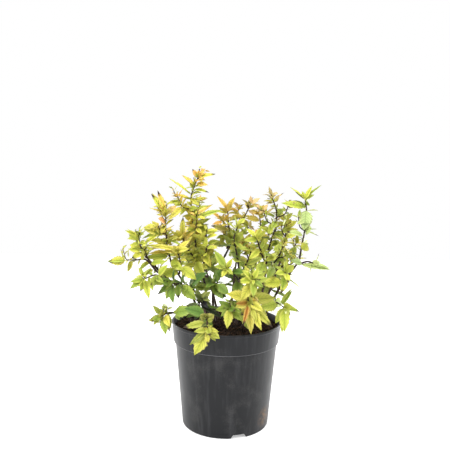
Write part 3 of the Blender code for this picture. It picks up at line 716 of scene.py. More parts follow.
def dress(tree, look, colour, roughness, height, invert=False):
    shader = tree.nodes["Principled BSDF"].inputs
    bump = node(
        tree, "ShaderNodeBump", {"invert": invert}, Strength=look["bump"], Distance=look["bumpDepth"],
        Height=height,
    )
    plug(tree, shader["Base Color"], colour)
    plug(tree, shader["Roughness"], roughness)
    plug(tree, shader["Specular IOR Level"], look["specular"])
    plug(tree, shader["Normal"], bump.outputs["Normal"])


# Bark, for the canes and the young stems

caneLook = dict(
    thicker=1.1, step=2.0, sides=14, relief=0.28, grain=0.42, knotEvery=11.0, knot=0.38, sunk=1.6,
    buried=1.05,
)
stemLook = dict(thicker=1.3, step=2.5, sides=9, relief=0.10, grain=0.6, knotEvery=6.0, knot=0.16)
knotRule = dict(sharp=10.0, stretch=0.25, detail=3.0)
barkLook = dict(
    old=(0.018, 0.010, 0.008), pale=(0.085, 0.050, 0.035), young=(0.050, 0.020, 0.013),
    oldRoughness=0.72, youngRoughness=0.6, specular=0.25, bump=0.5, bumpDepth=0.0002,
    streaks=(900, 900, 160), streakDetail=4.0, streakPart=0.6,
    patches=140.0, patchDetail=2.0, patchPart=0.55, mask=(0.48, 0.78),
)


def barkMaterial(name, dark, light, roughness):
    look = barkLook
    made, tree = newMaterial(name)
    place = node(tree, "ShaderNodeTexCoord").outputs["Object"]
    streaks = node(tree, "ShaderNodeMapping", Vector=place, Scale=look["streaks"]).outputs["Vector"]
    grain = noiseAt(tree, streaks, 1.0, look["streakDetail"])
    patches = noiseAt(tree, place, look["patches"], look["patchDetail"])
    patches = calc(tree, "MULTIPLY", patches, look["patchPart"])
    mask = calc(tree, "MULTIPLY_ADD", grain, look["streakPart"], patches)
    colour = mixColours(tree, ramp(tree, mask, *look["mask"]), dark, light)
    dress(tree, look, colour, roughness, grain)
    return made


def limbTree():  # a limb round each line, with knots at an even spacing along it and a relief of bark
    tree, given, made = newTree("Limbs", [
        ("Bark", "Material"), ("Sides", "Int"), ("Relief", "Float"), ("Grain", "Float"),
        ("Knot spacing", "Float"), ("Knot height", "Float"),
    ])
    curve = node(tree, "GeometryNodeMeshToCurve", Mesh=given["Geometry"]).outputs["Curve"]
    capture = node(tree, "GeometryNodeCaptureAttribute", Geometry=curve)
    capture.capture_items.new("FLOAT", "Length")
    plug(tree, capture.inputs["Length"], node(tree, "GeometryNodeSplineParameter").outputs["Length"])
    ring = node(tree, "GeometryNodeCurvePrimitiveCircle", Resolution=given["Sides"], Radius=1.0)
    skin = node(
        tree, "GeometryNodeCurveToMesh", Curve=capture.outputs["Geometry"], Scale=readValue(tree, "thick"),
        Profile_Curve=ring.outputs["Curve"], Fill_Caps=True,
    )
    turns = calc(tree, "DIVIDE", capture.outputs["Length"], given["Knot spacing"])
    wave = calc(tree, "COSINE", calc(tree, "MULTIPLY", turns, math.tau))
    knots = calc(tree, "POWER", calc(tree, "MAXIMUM", wave, 0.0), knotRule["sharp"])
    place = node(tree, "GeometryNodeInputPosition").outputs["Position"]
    stretched = node(tree, "ShaderNodeVectorMath", {"operation": "MULTIPLY"}, Vector=place)
    plug(tree, stretched.inputs[1], (1 / mm, 1 / mm, knotRule["stretch"] / mm))
    grain = noiseAt(tree, stretched.outputs[0], given["Grain"], knotRule["detail"])
    rough = calc(tree, "MULTIPLY", calc(tree, "SUBTRACT", grain, 0.5), given["Relief"])
    rise = calc(tree, "MULTIPLY_ADD", knots, given["Knot height"], rough)
    normal = node(tree, "GeometryNodeInputNormal").outputs["Normal"]
    offset = node(tree, "ShaderNodeVectorMath", {"operation": "SCALE"}, Vector=normal, Scale=rise)
    moved = node(tree, "GeometryNodeSetPosition", Geometry=skin.outputs["Mesh"], Offset=offset.outputs[0])
    plug(tree, made["Geometry"], painted(tree, moved.outputs["Geometry"], given["Bark"]))
    return tree


def lineObject(name, limbs):  # each limb is (line, radii) in mm
    verts, edges, thick = [], [], []
    for line, radii in limbs:
        start = len(verts)
        verts += [point * mm for point in line]
        thick += [radius * mm for radius in radii]
        edges += [(start + i, start + i + 1) for i in range(len(line) - 1)]
    mesh = bpy.data.meshes.new(name)
    mesh.from_pydata(verts, edges, [])
    writeValues(mesh, "thick", "FLOAT", thick)
    return addObject(name, mesh)


def fineCane(line):
    smooth = spline(line, caneLook["step"])
    radii = caneRadii(smooth)
    below = smooth[0] - up * caneLook["sunk"]  # set into the crumbs that lie on the soil
    return [below, *smooth], [radii[0] * caneLook["buried"], *radii]


def limbInputs(look, bark):
    return {
        "Bark": bark, "Sides": look["sides"], "Relief": look["relief"] * mm, "Grain": look["grain"],
        "Knot spacing": look["knotEvery"] * mm, "Knot height": look["knot"] * mm,
    }


# Finer twigs and small leaves, which grow on from the planned ones

fineRule = dict(
    seed=41, width=0.5, droop=(0.1, 0.34), closeDroop=(0.0, 0.12), twigStep=4.0,
    spacing=3.0, chance=0.9, length=(0.34, 0.62), shorten=0.35, lean=(0.25, 1.1), facing=(0.7, 0.8),
    sway=(-0.6, 0.6),
    axilChance=0.8, axilLength=(6.0, 13.0), axilLift=(0.3, 1.1), axilSide=(-0.9, 0.9), axilSway=(-0.5, 0.5),
    twigletChance=0.14, twigletLength=(8.0, 18.0), twigletSide=(-1.2, 1.2), twigletUp=0.7, twigletBow=-0.08,
    twigletLeaves=5, twigletBare=0.3, twigletLeaf=(6.0, 12.0), twigletLean=(0.4, 1.0),
    twigletFacing=(0.6, 0.7), twigletSway=(-0.5, 0.5), twigletRadius=0.6, twigletTip=0.7, twigletSides=5,
    dryChance=0.12, dryLength=(6.0, 14.0), drySide=(-1.0, 1.0), dryUp=0.4, dryBow=0.1,
)
# How full the finer growth of a shoot is, and how long its leaves are, where these aren't 1
fineAmounts = dict(
    tall=(1.8, 1.6), tall_left=(1.5, 1.5), tall_inner=(1.0, 1.2), left=(1.6, 1.5), left_in=(1.2, 1.2),
    right=(0.35, 1.0), right_out=(0.0, 1.0), right_low=(0.6, 1.0), low_left=(0.25, 1.0),
    low_left_under=(0.5, 1.0), low_left_up=(1.0, 1.2), front=(0.7, 1.0), low_front=(1.3, 1.0),
    front_right=(2.6, 0.8), front_up=(1.4, 1.2), front_right_left=(1.3, 1.0), right_rim=(0.6, 1.0),
    upright_left=(1.2, 1.2),
)
# Leaves that only the finer growth has: where the tip is, its width, how far it faces the front, and at
# times where on the stem it grows
closeTips = dict(
    tall=(
        (-21, 10, 388, 8, 50), (-72, 12, 385, 8, 50), (-31, 6, 371, 10, 60), (-30, 4, 362, 8, 45),
        (-33, 2, 353, 8, 50), (-29, 0, 339, 9, 50), (-9, -2, 335, 11, 55), (-23, 6, 343, 8, 40),
        (-95, 6, 342, 9, 50), (-92, 0, 318, 14, 60), (-72, 0, 326, 9, 60), (-65, -4, 304, 11, 65),
    ),
    tall_inner=((-15, -8, 305, 12, 60), (-13, -8, 288, 10, 50)),
    tall_right=((-52, -14, 215, 14, 75), (-35, -18, 211, 13, 75)),
    left=(
        (-112, -30, 360, 12, 70), (-117, -32, 338, 5, 35), (-126, -36, 310, 12, 60),
        (-127, -38, 295, 8, 45), (-127, -42, 283, 9, 50), (-116, -44, 274, 8, 45),
        (-100, -34, 303, 12, 65),
    ),
    tall_left=((-68, -8, 323, 11, 75),),
    left_in=((-102, -44, 283, 10, 50), (-119, -46, 286, 10, 60)),
    middle_left=((-20, -22, 275, 15, 75),),
    left_low=((-89, -58, 208, 17, 80), (-60, -50, 218, 13, 75), (-71, -60, 210, 14, 80)),
    low_left_up=(
        (-150, -44, 306, 8, 55), (-147, -44, 294, 8, 50), (-141, -46, 286, 9, 60),
        (-144, -48, 279, 14, 75), (-119, -46, 278, 9, 55),
    ),
    low_left=((-172, -58, 261, 17, 75), (-143, -58, 247, 9, 75), (-127, -60, 240, 8, 70)),
    low_left_under=((-137, -78, 237, 11, 60), (-122, -80, 223, 10, 75), (-104, -82, 225, 10, 75)),
    mid_left_fork=(
        (-25, 34, 308, 9, 45), (-14, 36, 322, 9, 50), (-29, 38, 331, 8, 40), (-18, 30, 286, 9, 55),
    ),
    mid_left=((36, 40, 353, 8, 50), (25, 38, 324, 10, 55), (19, 38, 342, 8, 45), (54, 38, 336, 8, 50)),
    mid_left_low=((-21, 6, 269, 12, 60), (-18, 4, 277, 10, 50)),
    upright=((29, 50, 317, 12, 60), (45, 46, 299, 11, 60), (64, 54, 339, 9, 50)),
    mid_right=((70, -20, 321, 8, 60), (56, -14, 346, 6, 40), (81, -14, 339, 7, 40)),
    right=((113, -34, 309, 25, 88, 0.84), (109, -20, 365, 8, 50), (114, -24, 345, 8, 60)),
    right_out=((155, -28, 250, 11, 62, 0.05),),
    back_right=((111, 46, 313, 13, 75), (100, 44, 302, 12, 70), (113, 46, 300, 10, 60)),
    front_right_low=(
        (59, -70, 190, 14, 65), (11, -96, 212, 11, 80), (26, -88, 187, 12, 80), (43, -86, 184, 12, 80),
        (23, -97, 181, 9, 80),
    ),
    front_right_left=((-13, -56, 206, 12, 70), (21, -80, 196, 9, 60)),
    front_up=(
        (-54, -46, 195, 11, 70), (-59, -58, 180, 10, 75), (-47, -70, 178, 9, 75), (-4, -60, 181, 10, 75),
        (-24, -50, 219, 10, 75), (-41, -50, 205, 10, 70),
    ),
    right_rim=((81, -58, 160, 14, 80), (96, -42, 220, 8, 55)),
    low_front=(
        (-62, -56, 188, 10, 70), (-68, -60, 178, 10, 75), (-80, -72, 168, 10, 75), (-105, -78, 175, 9, 60),
        (-81, -78, 165, 9, 75), (-59, -60, 190, 12, 70),
    ),
    front=((-51, -103, 154, 12, 80), (-26, -103, 155, 10, 75), (-18, -96, 189, 9, 75)),
)


def smallLeaf(root, go, facing, length, rng, share):
    droop = rng.uniform(*fineRule["droop"])
    leaf = makeLeaf(root, go.normalized(), facing, length, droop, length * fineRule["width"])
    return dict(leaf, share=share, onTwig=True)


def sprig(root, way, reach, bow):  # a short twig that bows up, or down where the bow is below 0
    way.normalize()
    middle = root + way * reach * 0.5 + up * reach * bow
    return spline([root, middle, root + way * reach], fineRule["twigStep"])


def fillLine(line, plan, amount, size, rng):  # small leaves between the planned ones
    rule = fineRule
    high, outer = rule["facing"]
    full = lineLength(line)
    small, turn, at = [], rng.uniform(0, 360), leafRule["bare"]
    while amount and at < full:
        share = at / full
        root, along = placeOn(line, share)
        out = outFrom(along, turn)
        go = out + along * rng.uniform(*rule["lean"])
        facing = up * high + outward(root) * outer + along.cross(out) * rng.uniform(*rule["sway"])
        length = plan["leaf"] * size * rng.uniform(*rule["length"]) * (1 - rule["shorten"] * share)
        if rng.random() < rule["chance"]:
            small.append(smallLeaf(root, go, facing, length, rng, share))
        turn += leafRule["goldenTurn"]
        at += rule["spacing"] / amount
    return small


def twigletFrom(leaf, rng):  # a short twig from a leaf's foot, with leaves to its tip
    rule = fineRule
    high, outer = rule["twigletFacing"]
    side = leaf["along"].cross(leaf["normal"])
    way = leaf["along"] + side * rng.uniform(*rule["twigletSide"]) + up * rule["twigletUp"]
    twig = sprig(leaf["root"], way, rng.uniform(*rule["twigletLength"]), rule["twigletBow"])
    small, turn, bare = [], rng.uniform(0, 360), rule["twigletBare"]
    for k in range(rule["twigletLeaves"]):
        root, along = placeOn(twig, bare + (1 - bare) * k / (rule["twigletLeaves"] - 1))
        go = outFrom(along, turn) + along * rng.uniform(*rule["twigletLean"])
        facing = up * high + outward(root) * outer + go.cross(along) * rng.uniform(*rule["twigletSway"])
        small.append(smallLeaf(root, go, facing, rng.uniform(*rule["twigletLeaf"]), rng, leaf["share"]))
        turn += leafRule["goldenTurn"]
    return twig, small


def growFiner(grown):
    rule = fineRule
    rng = random.Random(rule["seed"])
    twiglets, dry = [], []
    for name, one in grown.items():
        amount, size = fineAmounts.get(name, (1.0, 1.0))
        small = markedLeaves(dict(tips=closeTips.get(name, ())), one["lines"])
        for leaf in small:
            leaf["droop"] = rng.uniform(*rule["closeDroop"])
            leaf["close"] = leaf.pop("mark")
        for leaf in one["leaves"]:
            root, along, normal = leaf["root"], leaf["along"], leaf["normal"]
            side = along.cross(normal)
            if rng.random() < rule["axilChance"] * min(1.0, amount):
                go = along + normal * rng.uniform(*rule["axilLift"]) + side * rng.uniform(*rule["axilSide"])
                facing = normal + side * rng.uniform(*rule["axilSway"])
                length = rng.uniform(*rule["axilLength"])
                small.append(smallLeaf(root, go, facing, length, rng, leaf["share"]))
            if rng.random() < rule["twigletChance"] * amount:
                twig, leaves = twigletFrom(leaf, rng)
                twiglets.append(twig)
                small += leaves
            if rng.random() < rule["dryChance"]:
                way = along + side * rng.uniform(*rule["drySide"]) + normal * rule["dryUp"]
                dry.append(sprig(root, way, rng.uniform(*rule["dryLength"]), rule["dryBow"]))
        for line in one["lines"]:
            small += fillLine(line, one["plan"], amount, size, rng)
        one["leaves"] += small
    return twiglets, dry


# Leaves

leafLook = dict(
    bigTeeth=6, smallTeeth=4, smallBelow=15.0, toothDepth=0.15, toothOut=0.04, toothAt=0.78,
    stalk=0.07, stalkHalf=0.022, width=0.86, swell=0.7, narrow=1.1, widthShare=0.55,
    thick=0.012, quilt=0.022, ripple=0.02, waves=(9, 4), bends=(-0.035, 0.03),
    droops=(0.0, 0.07, 0.14, 0.22, 0.32), bendSteps=100, sharpAngle=70,
)


def leafSwell(t):  # half width along the blade, as a share of its widest
    swell, narrow = leafLook["swell"], leafLook["narrow"]
    peak = swell / (swell + narrow)
    return t ** swell * (1 - t) ** narrow / (peak ** swell * (1 - peak) ** narrow)


def leafShape(name, teeth, droop, bend):  # one toothed leaf, a unit long and a unit wide
    look = leafLook
    blade = 1 - look["stalk"]
    stations = [look["stalk"] + blade * k / teeth for k in range(teeth)]
    verts, places, faces, under = [], [], [], []

    def corner(u, v, lift=0.0, across=0.0):
        edge = v * look["width"] / 2
        ripple = look["ripple"] * math.sin(look["waves"][0] * u + look["waves"][1] * v) * abs(v)
        rise = leafRule["fold"] * look["widthShare"] * abs(edge) - droop * u * u + ripple
        verts.append(Vector((u, edge + bend * u * u, rise + lift)))
        places.append((u, 0.5 + across / 2))
        return len(verts) - 1

    def half(u):
        return max(look["stalkHalf"], leafSwell(max(0.0, min(1.0, (u - look["stalk"]) / blade))))

    def face(corners, below, flip):
        corners = list(dict.fromkeys(corners))
        faces.append(corners[::-1] if flip else corners)
        under.append(below)

    root = corner(0.0, 0.0)
    tip = corner(1.0, 0.0)
    upper = [corner(u, 0.0, look["thick"] / 2) for u in stations] + [tip]
    lower = [corner(u, 0.0, -look["thick"] / 2) for u in stations] + [tip]
    for way in (1, -1):
        edge, mid, peaks = [], [], []
        for k, u in enumerate(stations):
            inset = 1 - look["toothDepth"] if k else 1
            edge.append(corner(u, way * half(u) * inset, 0.0, way))
            mid.append(corner(u, way * half(u) * 0.5, look["quilt"], way * 0.5) if k else edge[0])
            at = u + look["toothAt"] * blade / teeth
            peaks.append(corner(at, way * (half(at) + look["toothOut"] * (1 - at)), 0.0, way))
        edge.append(tip)
        mid.append(tip)
        flip = way > 0
        face((root, edge[0], upper[0]), False, flip)
        face((root, lower[0], edge[0]), True, flip)
        for k in range(teeth):
            face((upper[k], mid[k], mid[k + 1], upper[k + 1]), False, flip)
            face((mid[k], edge[k], peaks[k], edge[k + 1], mid[k + 1]), False, flip)
            face((lower[k], lower[k + 1], edge[k + 1], peaks[k], edge[k]), True, flip)
    mesh = bpy.data.meshes.new(name)
    mesh.from_pydata(verts, [], faces)
    leafMap = mesh.uv_layers.new(name="leafMap")
    for loop in mesh.loops:
        leafMap.data[loop.index].uv = places[loop.vertex_index]
    writeValues(mesh, "underside", "BOOLEAN", under, "FACE")
    return mesh


def leafShapes():  # big ones first, then small ones, each kind in every droop and bend
    kinds = [
        (teeth, droop, bend) for teeth in (leafLook["bigTeeth"], leafLook["smallTeeth"])
        for droop in leafLook["droops"] for bend in leafLook["bends"]
    ]
    meshes = [leafShape(f"leafShape{k:02d}", *kind) for k, kind in enumerate(kinds)]
    return shapeCollection("leafShapes", meshes)


def leafTree():  # a leaf shape on each point, turned and sized as the point says
    sockets = [("Shapes", "Collection"), ("Face", "Material"), ("Back", "Material")]
    tree, given, made = newTree("Leaves", sockets)
    real = scattered(
        tree, given["Geometry"], given["Shapes"], readValue(tree, "shape", "INT"),
        readValue(tree, "turn", "QUATERNION"), readValue(tree, "size", "FLOAT_VECTOR"),
    )
    faced = painted(tree, real, given["Face"])
    under = readValue(tree, "underside", "BOOLEAN")
    plug(tree, made["Geometry"], painted(tree, faced, given["Back"], Selection=under))
    return tree


def leafPoints(name, leaves):
    droops, bends = leafLook["droops"], len(leafLook["bends"])
    turns, sizes, shapes = [], [], []
    for leaf in leaves:
        side = leaf["normal"].cross(leaf["along"])
        turns += list(Matrix((leaf["along"], side, leaf["normal"])).transposed().to_quaternion())
        sizes += [leaf["length"] * mm, leaf["width"] * mm, leaf["length"] * mm]
        nearest = min(range(len(droops)), key=lambda k: abs(droops[k] - leaf["droop"]))
        small = leaf["length"] < leafLook["smallBelow"]
        bend = leaf["bend"] * bends // leafLook["bendSteps"]
        shapes.append(len(droops) * bends * small + nearest * bends + bend)
    mesh = bpy.data.meshes.new(name)
    mesh.from_pydata([leaf["root"] * mm for leaf in leaves], [], [])
    writeValues(mesh, "turn", "QUATERNION", turns)
    writeValues(mesh, "size", "FLOAT_VECTOR", sizes)
    writeValues(mesh, "shape", "INT", shapes)
    for label in ("shade", "scorch"):
        writeValues(mesh, label, "FLOAT", [leaf[label] for leaf in leaves])
    return addObject(name, mesh)


# Each tint: the blade's colour, and the colour of its margin
leafTints = dict(
    lime=((0.38, 0.46, 0.050), (0.57, 0.61, 0.10)),
    green=((0.27, 0.37, 0.045), (0.41, 0.50, 0.08)),
    deepGreen=((0.150, 0.250, 0.028), (0.25, 0.36, 0.05)),
    yellow=((0.56, 0.54, 0.065), (0.72, 0.66, 0.13)),
    gold=((0.66, 0.50, 0.080), (0.74, 0.61, 0.14)),
    bronze=((0.70, 0.44, 0.13), (0.72, 0.54, 0.18)),
    rust=((0.36, 0.155, 0.022), (0.56, 0.40, 0.07)),
    paleLime=((0.49, 0.60, 0.20), (0.60, 0.69, 0.28)),
    olive=((0.31, 0.32, 0.055), (0.48, 0.46, 0.12)),
    blush=((0.60, 0.45, 0.19), (0.58, 0.51, 0.17)),
)
# The tints of each shoot from its foot to its tip, where they aren't the usual ones
usualTints = "green lime yellow"
sprayTints = dict(
    tall="green lime lime yellow lime gold", tall_inner="green lime lime",
    tall_right="green deepGreen deepGreen", left="lime yellow lime yellow yellow",
    left_low="deepGreen green green", low_left="lime lime yellow", low_left_up="green lime lime",
    low_left_under="lime lime lime", mid_left="lime lime lime yellow blush",
    mid_left_fork="green lime yellow gold", mid_left_low="lime green yellow", middle="green green lime",
    middle_left="green deepGreen lime", middle_right="green lime lime", upright="lime lime yellow gold",
    upright_left="lime lime gold", mid_right="green lime lime lime blush", mid_right_in="green lime lime",
    right="lime paleLime lime", right_out="lime paleLime paleLime", right_low="lime lime lime",
    right_rim="green lime lime", back_right_out="lime lime yellow", back_right_low="green green lime",
    front_right="lime yellow lime", front_right_low="yellow yellow gold yellow",
    front_right_left="olive lime lime", front="deepGreen olive yellow", front_up="green olive olive",
    back_left_out="green lime lime", back_low="deepGreen green lime",
)
# The tints of the leaves that the table of shoots marks, in its order
markTints = dict(
    tall="lime lime gold gold lime yellow lime lime", tall_right="deepGreen",
    left="lime gold bronze bronze yellow yellow lime", low_left="lime", mid_left="blush gold",
    mid_left_fork="gold gold lime olive", upright="gold gold", mid_right="blush blush gold lime lime",
    right="lime lime lime lime lime paleLime lime", right_out="paleLime", right_rim="lime lime",
    front_right_low="gold yellow yellow", front_right_left="yellow",
    front="yellow yellow yellow olive olive", front_up="olive olive", low_front="lime lime",
)
closeTints = {
    ("right", 0): "paleLime", ("right_out", 0): "paleLime", ("front_right_low", 1): "rust",
    ("front_right_low", 2): "gold", ("front_right_low", 4): "rust", ("tall", 0): "lime",
}
tintRule = dict(
    seed=12, wander=(-0.16, 0.16), twigFrom=0.35, twigPart=0.5, shade=(-0.31, 0.31), scorchChance=0.18,
    lowBelow=205.0, paintedLowShade=0.22,
)
# Painted light and shade on each shoot's leaves over the others of their tint: the high shoots painted
# lighter, the low front ones painted darker
shootPaintedLight = dict(
    tall=0.26, tall_left=0.22, tall_inner=0.22, left=0.18, left_in=0.16, low_left_up=0.2, mid_left=0.18,
    mid_left_fork=0.22, middle=0.1, back=0.1, upright=0.12, middle_right=0.26, mid_right_in=0.1,
    left_low=-0.22, front=-0.2, low_front=-0.2, front_up=-0.5, front_right_low=-0.18, front_right=-0.12,
    front_right_left=-0.16, right=-0.05,
)


def tintLeaves(grown):
    rule = tintRule
    rng = random.Random(rule["seed"])
    dealt = {tint: [] for tint in leafTints}
    for name, one in grown.items():
        tints = sprayTints.get(name, usualTints).split()
        for leaf in one["leaves"]:
            place = leaf["share"] + rng.uniform(*rule["wander"])
            if leaf.get("onTwig"):
                place = rule["twigFrom"] + rule["twigPart"] * place
            tint = tints[max(0, min(len(tints) - 1, int(place * len(tints))))]
            if "mark" in leaf and name in markTints:
                tint = markTints[name].split()[leaf["mark"]]
            if "close" in leaf:
                tint = closeTints.get((name, leaf["close"]), tint)
            # A leaf's shade is a random tone plus its shoot's painted light and shade
            leaf["shade"] = rng.uniform(*rule["shade"]) + shootPaintedLight.get(name, 0.0)
            root = leaf["root"]
            # Leaves low over the soil inside the rim get a painted shade
            if root.z < rule["lowBelow"] and math.hypot(root.x, root.y) < potSize["rim"]:
                leaf["shade"] -= rule["paintedLowShade"]
            leaf["scorch"] = float(rng.random() < rule["scorchChance"])
            leaf["bend"] = rng.randrange(leafLook["bendSteps"])
            dealt[tint].append(leaf)
    return dealt


leafSurface = dict(
    veinSpacing=0.13, veinWidth=0.16, veinSlant=-0.28, veinShade=0.40, midrib=(0.10, 0.02),
    vein=(0.10, 0.13, 0.015), backVein=(0.40, 0.44, 0.16), paintedBackShade=0.85,
    mottle=260.0, mottleDetail=3.0, mottlePart=0.8, mottleRise=0.5, margin=(0.25, 0.95),
    rimShade=0.35, rimPlace=(0.82, 1.0), rim=(0.14, 0.085, 0.018),
    scorch=(0.05, 0.03, 0.018), scorchPlace=(0.83, 0.98), scorchWander=0.2, hueShift=-0.07,
    roughness=0.5, backRoughness=0.68, specular=0.35, bump=0.9, bumpDepth=0.0005,
)


def leafPattern():  # masks of a leaf's veins, margin and tip, from its own map
    look = leafSurface
    group = bpy.data.node_groups.new("Leaf pattern", "ShaderNodeTree")
    for label in ("Vein spacing", "Vein width"):
        group.interface.new_socket(label, in_out="INPUT", socket_type="NodeSocketFloat")
    given = group.nodes.new("NodeGroupInput").outputs
    leafMap = node(group, "ShaderNodeUVMap", {"uv_map": "leafMap"}).outputs[0]
    u, v, _ = node(group, "ShaderNodeSeparateXYZ", Vector=leafMap).outputs
    across = calc(group, "ABSOLUTE", calc(group, "MULTIPLY_ADD", v, 2.0, -1.0))
    slanted = calc(group, "MULTIPLY_ADD", across, look["veinSlant"], u)
    phase = calc(group, "DIVIDE", slanted, given["Vein spacing"])
    ridge = calc(group, "ABSOLUTE", calc(group, "SUBTRACT", calc(group, "FRACT", phase), 0.5))
    sides = ramp(group, ridge, given["Vein width"], 0.0)
    veins = calc(group, "MAXIMUM", sides, ramp(group, across, *look["midrib"]))
    place = node(group, "ShaderNodeTexCoord").outputs["Object"]
    mottle = noiseAt(group, place, look["mottle"], look["mottleDetail"])
    inward = calc(group, "SUBTRACT", across, look["mottlePart"] / 2)
    blotch = calc(group, "MULTIPLY_ADD", mottle, look["mottlePart"], inward)
    toTip = calc(group, "MULTIPLY_ADD", mottle, look["scorchWander"], u)
    grain = calc(group, "MULTIPLY", mottle, look["mottleRise"])
    masks = {
        "Margin": ramp(group, blotch, *look["margin"]), "Veins": veins,
        "Rim": ramp(group, across, *look["rimPlace"]), "Tip": ramp(group, toTip, *look["scorchPlace"]),
        "Height": calc(group, "MULTIPLY_ADD", veins, -1.0, grain),
    }
    for label in masks:
        group.interface.new_socket(label, in_out="OUTPUT", socket_type="NodeSocketFloat")
    made = group.nodes.new("NodeGroupOutput").inputs
    for label, value in masks.items():
        plug(group, made[label], value)
    return group


def leafMaterial(name, pattern, blade, margin, back):
    look = leafSurface
    made, tree = newMaterial(name)
    marks = node(
        tree, "ShaderNodeGroup", {"node_tree": pattern}, Vein_spacing=look["veinSpacing"],
        Vein_width=look["veinWidth"],
    ).outputs
    # The underside colours are darkened by a painted shade
    if back:
        blade, margin = (tuple(look["paintedBackShade"] * part for part in colour) for colour in (blade, margin))
    colour = mixColours(tree, marks["Margin"], blade, margin)
    veins = calc(tree, "MULTIPLY", marks["Veins"], look["veinShade"])
    colour = mixColours(tree, veins, colour, look["backVein" if back else "vein"])
    colour = mixColours(tree, calc(tree, "MULTIPLY", marks["Rim"], look["rimShade"]), colour, look["rim"])
    shade, scorch = (
        node(tree, "ShaderNodeAttribute", {"attribute_name": label}).outputs["Fac"]
        for label in ("shade", "scorch")
    )
    # The value follows the shade attribute: a random tone, each shoot's painted light and shade, and the
    # painted shade of leaves low over the soil
    lit = node(
        tree, "ShaderNodeHueSaturation", Value=calc(tree, "ADD", shade, 1.0), Color=colour,
        Hue=calc(tree, "MULTIPLY_ADD", shade, look["hueShift"], 0.5),
    )
    brown = calc(tree, "MULTIPLY", scorch, marks["Tip"])
    colour = mixColours(tree, brown, lit.outputs["Color"], look["scorch"])
    dress(tree, look, colour, look["backRoughness" if back else "roughness"], marks["Height"], back)
    return made


# Soil

soilLook = dict(
    sides=96, rings=26, lumps=((0.09, 1.6), (0.45, 0.7)), seed=5, crumbs=2600, crumbSizes=(0.7, 2.6),
    flat=0.55, kinds=7, longs=(1.0, 2.2), corners=(0.65, 1.1), tilts=(0.7, 0.7, math.tau),
    steepest=0.3, lowest=0.14,  # where no crumbs lie: the normal's least rise, and the least height in metres
    dark=(0.002, 0.0015, 0.0012), brown=(0.022, 0.013, 0.008), chip=(0.09, 0.048, 0.027),
    brownGrain=420.0, chipGrain=300.0, grainDetail=6.0, grainRoughness=0.65, mask=(0.42, 0.72),
    roughness=0.92, specular=0.12, bump=0.8, bumpDepth=0.0006,
)


def soilMaterial(name, light, scale):
    look = soilLook
    made, tree = newMaterial(name)
    place = node(tree, "ShaderNodeTexCoord").outputs["Object"]
    grain = noiseAt(tree, place, scale, look["grainDetail"], look["grainRoughness"])
    colour = mixColours(tree, ramp(tree, grain, *look["mask"]), look["dark"], light)
    dress(tree, look, colour, look["roughness"], grain)
    return made


def makeSoil():
    look = soilLook
    compost = meshObject("compost", *turned(soilOutline(look["rings"]), look["sides"]))
    for corner in compost.data.vertices:
        if corner.co.z > soilSize["edge"] * mm - mm:
            place = corner.co / mm
            corner.co.z += sum(noise.noise(place * scale) * height for scale, height in look["lumps"]) * mm
    compost.data.materials.append(soilMaterial("moistPeat", look["brown"], look["brownGrain"]))
    return keepPiece(compost, "peat", "soil")


def randomValue(tree, kind, seed, low, high):  # this node has sockets of one name for every kind
    first = {"FLOAT_VECTOR": 0, "FLOAT": 2, "INT": 4}[kind]
    made = node(tree, "FunctionNodeRandomValue", {"data_type": kind}, Seed=seed)
    plug(tree, made.inputs[first], low)
    plug(tree, made.inputs[first + 1], high)
    return made.outputs[first // 2]


def crumbTree():
    tree, given, made = newTree("Crumbs", [
        ("Shapes", "Collection"), ("Count per area", "Float"), ("Smallest", "Float"), ("Largest", "Float"),
        ("Seed", "Int"), ("Bark chips", "Material"),
    ])
    seed = given["Seed"]
    spots = node(
        tree, "GeometryNodeDistributePointsOnFaces", Mesh=given["Geometry"], Density=given["Count per area"],
        Seed=seed,
    )
    spin = randomValue(tree, "FLOAT_VECTOR", seed, (0, 0, 0), soilLook["tilts"])
    real = scattered(
        tree, spots.outputs["Points"], given["Shapes"],
        randomValue(tree, "INT", seed, 0, soilLook["kinds"] - 1),
        node(tree, "FunctionNodeEulerToRotation", Euler=spin).outputs["Rotation"],
        randomValue(tree, "FLOAT", seed, given["Smallest"], given["Largest"]),
    )
    plug(tree, made["Geometry"], painted(tree, real, given["Bark chips"]))
    return tree


def crumbShapes():
    look = soilLook
    rng = random.Random(look["seed"])
    meshes = [ballMesh(f"crumb{k}", 1.0) for k in range(look["kinds"])]
    for mesh in meshes:
        long = rng.uniform(*look["longs"])
        for corner in mesh.vertices:
            corner.co *= rng.uniform(*look["corners"])
            corner.co.x *= long
            corner.co.z *= look["flat"]
    return shapeCollection("crumbShapes", meshes)


def makeCrumbs(compost):
    look = soilLook
    source = addObject("crumbGround", bpy.data.meshes.new("crumbGround"))
    work = bmesh.new()
    work.from_mesh(compost.data)
    hidden = [
        face for face in work.faces
        if face.normal.z < look["steepest"] or face.calc_center_median().z < look["lowest"]
    ]
    bmesh.ops.delete(work, geom=hidden, context="FACES")
    work.to_mesh(source.data)
    work.free()
    radius = (potSize["collar"] - potSize["wall"]) * mm
    shapes = crumbShapes()
    plainPiece("barkCrumbs", source, crumbTree(), {
        "Shapes": shapes, "Count per area": look["crumbs"] / (math.pi * radius * radius),
        "Smallest": look["crumbSizes"][0] * mm, "Largest": look["crumbSizes"][1] * mm, "Seed": look["seed"],
        "Bark chips": soilMaterial("barkChips", look["chip"], look["chipGrain"]),
    }, "peat")
    return shapes


# Pot

